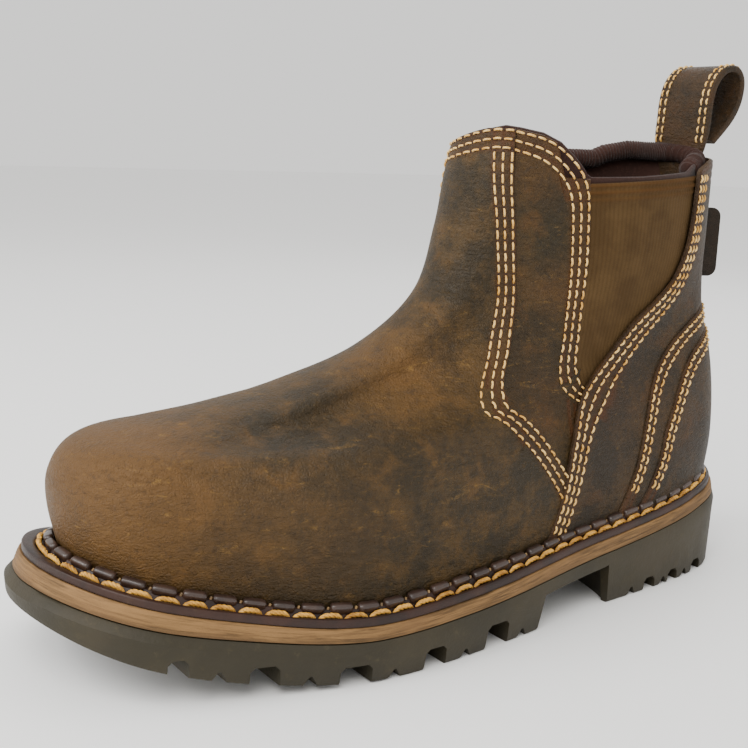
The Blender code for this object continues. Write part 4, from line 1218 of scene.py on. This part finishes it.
def closed_ring(name, rings, finish, length, caps, **more):
    """Ring of sections. caps closes the first and last ring; without them the last ring joins the first."""
    rows, columns = len(rings), len(rings[0])
    points = np.concatenate(rings)
    faces = ring_faces(rows, columns, joined=not caps) + (ladder_faces(rows, columns) if caps else [])
    u = np.abs(np.linspace(-1, 1, columns, endpoint=False)) * length / 2
    uv = np.stack([np.tile(u, rows), points[:, 2] - np.tile(rings[0][:, 2], rows)], 1)
    return faced_out(new_piece(name, points, faces, finish, uv=uv, **more))


welt_angle, welt_length = even_angles(420)
feather = surface(welt_angle, 0.0, VAMP_STEP + GAP)
lower = surface(welt_angle, -0.055, VAMP_STEP + 2 * GAP)
welt_edge = sole_edge(welt_angle, -0.0010)
reach = np.linalg.norm(welt_edge - feather[:, :2], axis=1)
outwards = (welt_edge - feather[:, :2]) / reach[:, None]
squeeze = np.minimum(1.0, (reach - 0.0010) / 0.0082)


def welt_ring(distance, rise, from_edge=False, start=feather):
    far = reach - distance if from_edge else distance * squeeze
    plan = start[:, :2] + outwards * far[:, None]
    return np.column_stack([plan, tan_top(plan[:, 0]) + rise])


def waxed_welt():
    look = Finish("waxed_welt", Specular_IOR_Level=0.35, Coat_Roughness=0.3)
    tone = look.noise(50, 4, 0.6)
    grain = look.noise(900, 4, 0.65)
    dust = look.noise(160, 5, 0.7, offset=4)
    look.set(Base_Color=look.wash("1c0d07", (look.spread(tone, 0.35, 0.65), "30190e"),
                                  (look.spread(dust, 0.60, 0.80) * 0.20, "6b5436")),
             Roughness=(0.42 + grain * 0.16).held(), Coat_Weight=0.05)
    look.relief((grain, 0.00012), (dust, 0.0002))
    return look.material


# The welt's section, from under the upper out round its edge and back in: distance and rise
WELT_OUTER = (
    (0.0, GAP / 2), (0.0, WELT_THICKNESS * 0.72), (0.0003, WELT_THICKNESS * 0.92), (0.0009, WELT_THICKNESS),
)
WELT_CHANNEL = (
    (0.0074, WELT_THICKNESS), (0.0070, WELT_THICKNESS * 0.90), (0.0064, WELT_THICKNESS * 0.62),
    (0.0042, WELT_THICKNESS * 0.56), (0.0036, WELT_THICKNESS * 0.75), (0.0031, 0.0043), (0.0026, 0.0047),
    (0.0004, 0.0049), (0.0001, 0.0040),
)
welt_rings = [welt_ring(0.0, GAP / 2, start=lower)] + [welt_ring(*place, True) for place in WELT_OUTER]
welt_rings += [welt_ring(*place) for place in WELT_CHANNEL]
closed_ring("welt", welt_rings, waxed_welt(), welt_length, False, node="welt", slot="welt_leather")


def glossy_brown():
    look = Finish("rand_blocks", Specular_IOR_Level=0.5, Coat_Weight=0.25, Coat_Roughness=0.25)
    tone = look.noise(120, 3, 0.6)
    grain = look.noise(1300, 3, 0.6)
    look.set(Base_Color=look.mix(look.spread(tone, 0.35, 0.7), tint("281a14"), tint("3c2a21")),
             Roughness=(0.30 + grain * 0.2).held())
    look.relief((grain, 0.00008))
    return look.material


def block_tree():
    work, given = new_tree("rand_row", BLOCK_PITCH, ("Size", "Vector", BLOCK_SIZE),
                           ("Block", "Material", None))
    cube = work.node("GeometryNodeMeshCube", Size=given.of("Size"), Vertices_X=5, Vertices_Y=3, Vertices_Z=3)
    block = work.node("GeometryNodeSubdivisionSurface", Mesh=cube, Level=1)
    half = given.of("Pitch") * 0.5
    tie = arc(work, 5, (half - 0.0007, 0.0012, -0.0020), (half, -0.0012, -0.0004),
              (half + 0.0006, 0.0006, 0.0006))
    both = joined(work, coloured(work, block, given.of("Block")),
                  coloured(work, strand(work, tie, 0.0005), given.of("Thread")))
    return close_tree(work, given, both, 0.05)


def round_welt(distance, rise, lean=0.30):
    """Guide line round the boot at a distance out from the upper, its outward vectors leaning out."""
    normals = np.column_stack([outwards * math.sin(lean), np.full(len(outwards), math.cos(lean))])
    return [np.concatenate([ring, ring[:1]]) for ring in (welt_ring(distance, rise), normals)]


dusty_thread = thread("rand_thread", "8a7048", "5c4930")
grown("rand", [round_welt(0.0019, 0.0046)], block_tree(),
      {"Block": glossy_brown(), "Thread": dusty_thread, "Seed": 11})

# Lock stitch: thick golden waxed cord of three twisted strands, lying in the welt's channel. It goes
# down through welt, tan layer and rubber and holds the sole to the boot.
def cord_tree():
    work, given = new_tree("lock_stitch", CORD_PITCH, ("Length", "Float", CORD_LENGTH),
                           ("Strand", "Float", STRAND_RADIUS), ("Turns", "Float", STRAND_TURNS))
    strands = []
    for number in range(3):
        line = work.node("GeometryNodeCurvePrimitiveLine", Start=vector(work, given.of("Length") * -0.5),
                         End=vector(work, given.of("Length") * 0.5))
        line = work.node("GeometryNodeResampleCurve", {"mode": "COUNT"}, Curve=line, Count=13)
        share = work.node("GeometryNodeSplineParameter", out="Factor")
        swing = share * given.of("Turns") * (2 * math.pi) + number * 2 * math.pi / 3
        away = share * 2.0 - 1.0
        hump = 1.0 - away * away * away * away
        radius = given.of("Strand") * 0.85
        offset = vector(work, 0.0, swing.math("COSINE") * radius * hump,
                        swing.math("SINE") * radius * hump + (hump - 1.0) * 0.0016)
        line = work.node("GeometryNodeSetPosition", Geometry=line, Offset=offset)
        strands.append(strand(work, line, given.of("Strand")))
    whole = coloured(work, joined(work, *strands), given.of("Thread"))
    return close_tree(work, given, whole, 0.06)


golden_cord = thread("golden_cord", "dda84a", "96661f")
grown("lock_stitch", [round_welt(0.0053, 0.0034)], cord_tree(), {"Thread": golden_cord, "Seed": 13})

# Midsole: a tan layer between welt and rubber, cut and sanded flush with both after it is stitched on,
# so long streaks run along its edge.
def rubber_top(x):
    return tan_top(x) - along(SOLE_SIDES, 2, sole_share(x)) * MM


def sole_ring(angle, flare, height, drop=0.0, taper=0.0, inset=0.0):
    share = sole_share(sole_edge(angle)[:, 0])
    extra = (along(SOLE_SIDES, 3, share) * flare - along(SOLE_SIDES, 4, share) * taper) * MM - inset
    plan = sole_edge(angle, extra)
    return np.column_stack([plan, height(plan[:, 0]) - drop])


def sanded_tan():
    look = Finish("sanded_tan", Roughness=0.7, Specular_IOR_Level=0.25)
    plan = look.node("ShaderNodeUVMap", {"uv_map": "plan"})
    streak = look.noise(1.0, 5, 0.65, stretch=(60, 1100, 1), place=plan, distortion=0.8)
    long_streak = look.noise(1.0, 4, 0.6, stretch=(9, 420, 1), place=plan, offset=3)
    blot = look.noise(45, 4, 0.6)
    grain = look.noise(1100, 3, 0.6)
    low_edge = look.node("ShaderNodeSeparateXYZ", out="Y", Vector=plan)
    look.set(Base_Color=look.wash(
        "4c3820", (look.spread(streak * 0.6 + long_streak * 0.4, 0.36, 0.62), "83633d"),
        (look.spread(blot, 0.45, 0.70) * 0.6, "6f5233"),
        (look.spread(low_edge, -0.0032, -0.0056) * 0.65, "473420")))
    look.relief((streak, 0.00025), (grain, 0.0001))
    return look.material


midsole_rings = [sole_ring(welt_angle, 0.0, tan_top, GAP / 2, inset=inset) for inset in (0.0012, 0.0004)]
midsole_rings.append(sole_ring(welt_angle, 0.02, tan_top, GAP / 2 + 0.0005))
for share in (0.3, 0.6, 0.9):
    ring = sole_ring(welt_angle, 0.45 * share, tan_top)
    ring[:, 2] += (rubber_top(ring[:, 0]) - tan_top(ring[:, 0])) * share
    midsole_rings.append(ring)
midsole_rings.append(sole_ring(welt_angle, 0.42, rubber_top, -GAP / 2))
midsole_rings.append(sole_ring(welt_angle, 0.40, rubber_top, -GAP / 2, inset=0.0012))
closed_ring("midsole", midsole_rings, sanded_tan(), welt_length, True, node="midsole", slot="tan_layer")

# Outsole: moulded olive-grey rubber with a step at the heel, a hollow waist and deep side lugs, each with
# a small V notch, and cross grooves in the middle of the tread.
WEB_THICKNESS = 0.0080
TOE_SPRING = 0.0250
TOE_CURVE = 2.4
WAIST_THICKNESS = 0.0055
LUG_GROOVE = 0.0050
HEEL_GROOVE = 0.0055
SIDE_BREAK = 0.0035
SIDE_UPRIGHT = 0.0015
SIDE_GROOVES = (
    (0.0850, 0.024), (0.1465, 0.021), (0.1990, 0.023), (0.5030, 0.036), (0.6010, 0.030),
    (0.7050, 0.037), (0.8045, 0.031), (0.8930, 0.021),
)
MIDDLE_GROOVES = (
    (0.1150, 0.016), (0.1750, 0.016), (0.4600, 0.018), (0.5520, 0.018), (0.6530, 0.018), (0.7550, 0.018),
    (0.8480, 0.016),
)
LUG_NOTCHES = (0.168, 0.237, 0.458, 0.554, 0.657, 0.756, 0.852, 0.117)
HEEL_BREAST = 0.282
WAIST_END = 0.420
BREAST_LEAN = 0.003
BREAST_HOLLOW = 0.009
BELOW_TREAD = -0.010
CUT_REACH = 0.09
SIDE_REACH = 0.0240
NOTCH_REACH = 0.006
MIDDLE_REACH = 0.0225
# A notch's section: place along the boot, and rise over the tread or None for its foot below the floor
NOTCH_SECTION = (
    (-0.0030, None), (0.0030, None), (0.0028, 0.0), (0.0004, 0.0036), (-0.0006, 0.0036), (-0.0028, 0.0),
)
NOTCH_FOOT = -0.004
HOLLOW_WIDTH = 0.004


def tread(x):
    bend = np.clip((sole_share(x) - 0.60) / 0.40, 0, None)
    return TOE_SPRING * bend ** TOE_CURVE


def groove_top(x):
    return np.maximum(rubber_top(x) - WEB_THICKNESS, tread(x) + LUG_GROOVE)


def cut_top(x):
    return np.where(sole_share(x) < HEEL_BREAST, tread(x) + HEEL_GROOVE, groove_top(x))


def side_foot(x):
    return np.minimum(groove_top(x), rubber_top(x) - SIDE_BREAK - SIDE_UPRIGHT)


def along_sole(share):
    return SOLE_BACK + SOLE_LENGTH * share


def edge_width(x, side):
    ring = sole_edge(np.linspace(0.02, np.pi - 0.02, 200) * side)
    order = np.argsort(ring[:, 0])
    return float(np.interp(x, ring[order, 0], np.abs(ring[order, 1])))


def prism(first, second):
    """Points and faces of a block between two outlines."""
    count = len(first)
    faces = [tuple(range(count)), tuple(range(count, 2 * count))[::-1]]
    faces += [(k, (k + 1) % count, count + (k + 1) % count, count + k) for k in range(count)]
    return first + second, faces


def prism_across(section, y_in, y_out):
    """Block between two places across the boot, over a section given in length and height."""
    return prism([(x, y_in, z) for x, z in section], [(x, y_out, z) for x, z in section])


def cutter_from(parts, name):
    points, faces = [], []
    for more_points, more_faces in parts:
        faces += [tuple(v + len(points) for v in face) for face in more_faces]
        points += more_points
    mesh = bpy.data.meshes.new(name)
    mesh.from_pydata(points, [], faces)
    return faced_out(linked(name, mesh))


def groove_section(x, half, top, slope=0.0012, chamfer=0.0016):
    return [(x - half - slope, BELOW_TREAD), (x - half, top - chamfer), (x - half + chamfer, top),
            (x + half - chamfer, top), (x + half, top - chamfer), (x + half + slope * 0.4, BELOW_TREAD)]


sides, middles = [], []
for share, width in SIDE_GROOVES:
    x = along_sole(share)
    section = groove_section(x, width * SOLE_LENGTH / 2, float(cut_top(x)))
    for side in (1, -1):
        sides.append(prism_across(section, side * (edge_width(x, side) - SIDE_REACH), side * CUT_REACH))
for share in LUG_NOTCHES:
    x = along_sole(share)
    section = [(x + dx, NOTCH_FOOT if dz is None else float(tread(x)) + dz) for dx, dz in NOTCH_SECTION]
    for side in (1, -1):
        sides.append(prism_across(section, side * (edge_width(x, side) - NOTCH_REACH), side * CUT_REACH))
stations = np.linspace(along_sole(HEEL_BREAST), along_sole(WAIST_END), 9)
tops = rubber_top(stations) - WAIST_THICKNESS
roof = [(stations[0] + BREAST_LEAN, tops[0])] + list(zip(stations[1:], tops[1:]))
foot = [(stations[0], BELOW_TREAD), (stations[-1] + 0.004, BELOW_TREAD)]
waist = prism_across(foot + roof[::-1], -CUT_REACH, CUT_REACH)
for share, width in MIDDLE_GROOVES:
    x = along_sole(share)
    section = groove_section(x, width * SOLE_LENGTH / 2, float(cut_top(x)) - 0.0006, chamfer=0.0010)
    ends = [side * (edge_width(x, side) - MIDDLE_REACH) for side in (-1, 1)]
    middles.append(prism_across(section, *ends))
breast = along_sole(HEEL_BREAST)
half = edge_width(breast, 1) - HOLLOW_WIDTH
bow = [(breast - BREAST_HOLLOW * (1 - y * y), y * half) for y in np.linspace(1, -1, 17)]
plan = (bow + [(breast + 0.005, -half), (breast + 0.005, half)])[::-1]
top = float(rubber_top(breast)) - WAIST_THICKNESS - 0.0015
middles.append(prism(*[[(x, y, z) for x, y in plan] for z in (BELOW_TREAD, top)]))


def moulded_rubber():
    look = Finish("moulded_rubber", Specular_IOR_Level=0.35)
    broad = look.noise(22, 4, 0.6)
    dust = look.noise(210, 5, 0.7)
    grain = look.noise(1200, 3, 0.6)
    # Painted shade: the rubber is darker in its lowest 10 mm, towards the floor.
    height = look.node("ShaderNodeSeparateXYZ", out="Z", Vector=look.place)
    look.set(Base_Color=look.wash(
        "272213", (look.spread(broad, 0.35, 0.65), "332c1b"),
        (look.spread(dust, 0.55, 0.80) * 0.35, "5a4f37"),
        (look.spread(height, 0.010, 0.0) * 0.35, "26231a")), Roughness=(0.52 + dust * 0.2).held())
    look.relief((dust, 0.0002), (grain, 0.00012))
    return look.material


rubber_angle, rubber_length = even_angles(300)
outsole_rings = [sole_ring(rubber_angle, *shape) for shape in (
    (0.36, rubber_top, GAP / 2, 0.0, 0.0010), (0.42, rubber_top, GAP / 2 + 0.0002),
    (0.60, rubber_top, 0.0010), (1.0, rubber_top, SIDE_BREAK), (1.0, side_foot, 0.0, 0.2),
    (1.0, tread, -0.0012, 0.85),
    (1.0, tread, -0.0003, 1.0, 0.0002), (1.0, tread, 0.0, 1.0, 0.0009))]
outsole = closed_ring("outsole", outsole_rings, moulded_rubber(), rubber_length, True, node="outsole",
                      slot="rubber")
cutters = [cutter_from(*cut) for cut in (
    (sides, "side_grooves"), ([waist], "waist_hollow"), (middles, "middle_grooves"))]
for cutter in cutters:
    cut = outsole.modifiers.new(cutter.name, "BOOLEAN")
    cut.operation = "DIFFERENCE"
    cut.solver = "EXACT"
    cut.object = cutter
shaped = bpy.data.meshes.new_from_object(outsole.evaluated_get(bpy.context.evaluated_depsgraph_get()))
outsole.modifiers.clear()
outsole.data = shaped
shaped.name = "outsole"
shaped.shade_smooth()
shaped.set_sharp_from_angle(angle=math.radians(32))
for cutter in cutters:
    bpy.data.objects.remove(cutter)

# Studio: a pale paper floor and soft light from all round, with a larger lamp on the toe's side.
# The camera stands at the photograph's own angle.
floor_mesh = bpy.data.meshes.new("floor")
floor_mesh.from_pydata([(-6, -6, 0), (6, -6, 0), (6, 6, 0), (-6, 6, 0)], [], [(0, 1, 2, 3)])
floor = linked("floor", floor_mesh)
paper = Finish("floor_paper", Roughness=0.9, Specular_IOR_Level=0.1)
paper.set(Base_Color=paper.mix(paper.noise(3, 2, 0.5) * 0.03, (0.93, 0.93, 0.925, 1), (0.88, 0.88, 0.88, 1)))
floor_mesh.materials.append(paper.material)

world = bpy.data.worlds.new("studio_air")
world.use_nodes = True
air = world.node_tree.nodes["Background"].inputs
air["Color"].default_value = (1.0, 0.99, 0.97, 1)
air["Strength"].default_value = 1.15
bpy.context.scene.world = world


def soft_light(name, place, target, size, power, colour=(1, 1, 1)):
    lamp = bpy.data.lights.new(name, "AREA")
    lamp.shape = "RECTANGLE"
    lamp.size, lamp.size_y = size
    lamp.energy = power
    lamp.color = colour
    holder = linked(name, lamp)
    holder.location = place
    holder.rotation_euler = (Vector(target) - Vector(place)).to_track_quat("-Z", "Y").to_euler()


soft_light("key_light", (0.9, 0.75, 1.25), (0.1, 0, 0.08), (0.9, 0.9), 17, (1, 0.98, 0.94))
soft_light("front_light", (1.3, -0.25, 0.9), (0.1, 0, 0.08), (0.8, 0.8), 16)
soft_light("back_light", (-0.8, -0.5, 0.9), (0, 0, 0.1), (0.7, 0.7), 3)

camera_data = bpy.data.cameras.new("camera")
camera_data.sensor_width = 36.0
camera_data.lens = 56.46
camera_data.clip_start = 0.01
camera = linked("camera", camera_data)
right = Vector((-0.825312, 0.563393, 0.038047))
down = Vector((0.077000, 0.179033, -0.980825))
ahead = Vector((-0.559402, -0.806557, -0.191139))
camera.matrix_world = Matrix.Translation((0.387716, 0.361413, 0.179267)) @ Matrix(
    (right, -down, -ahead)).transposed().to_4x4()
bpy.context.scene.camera = camera
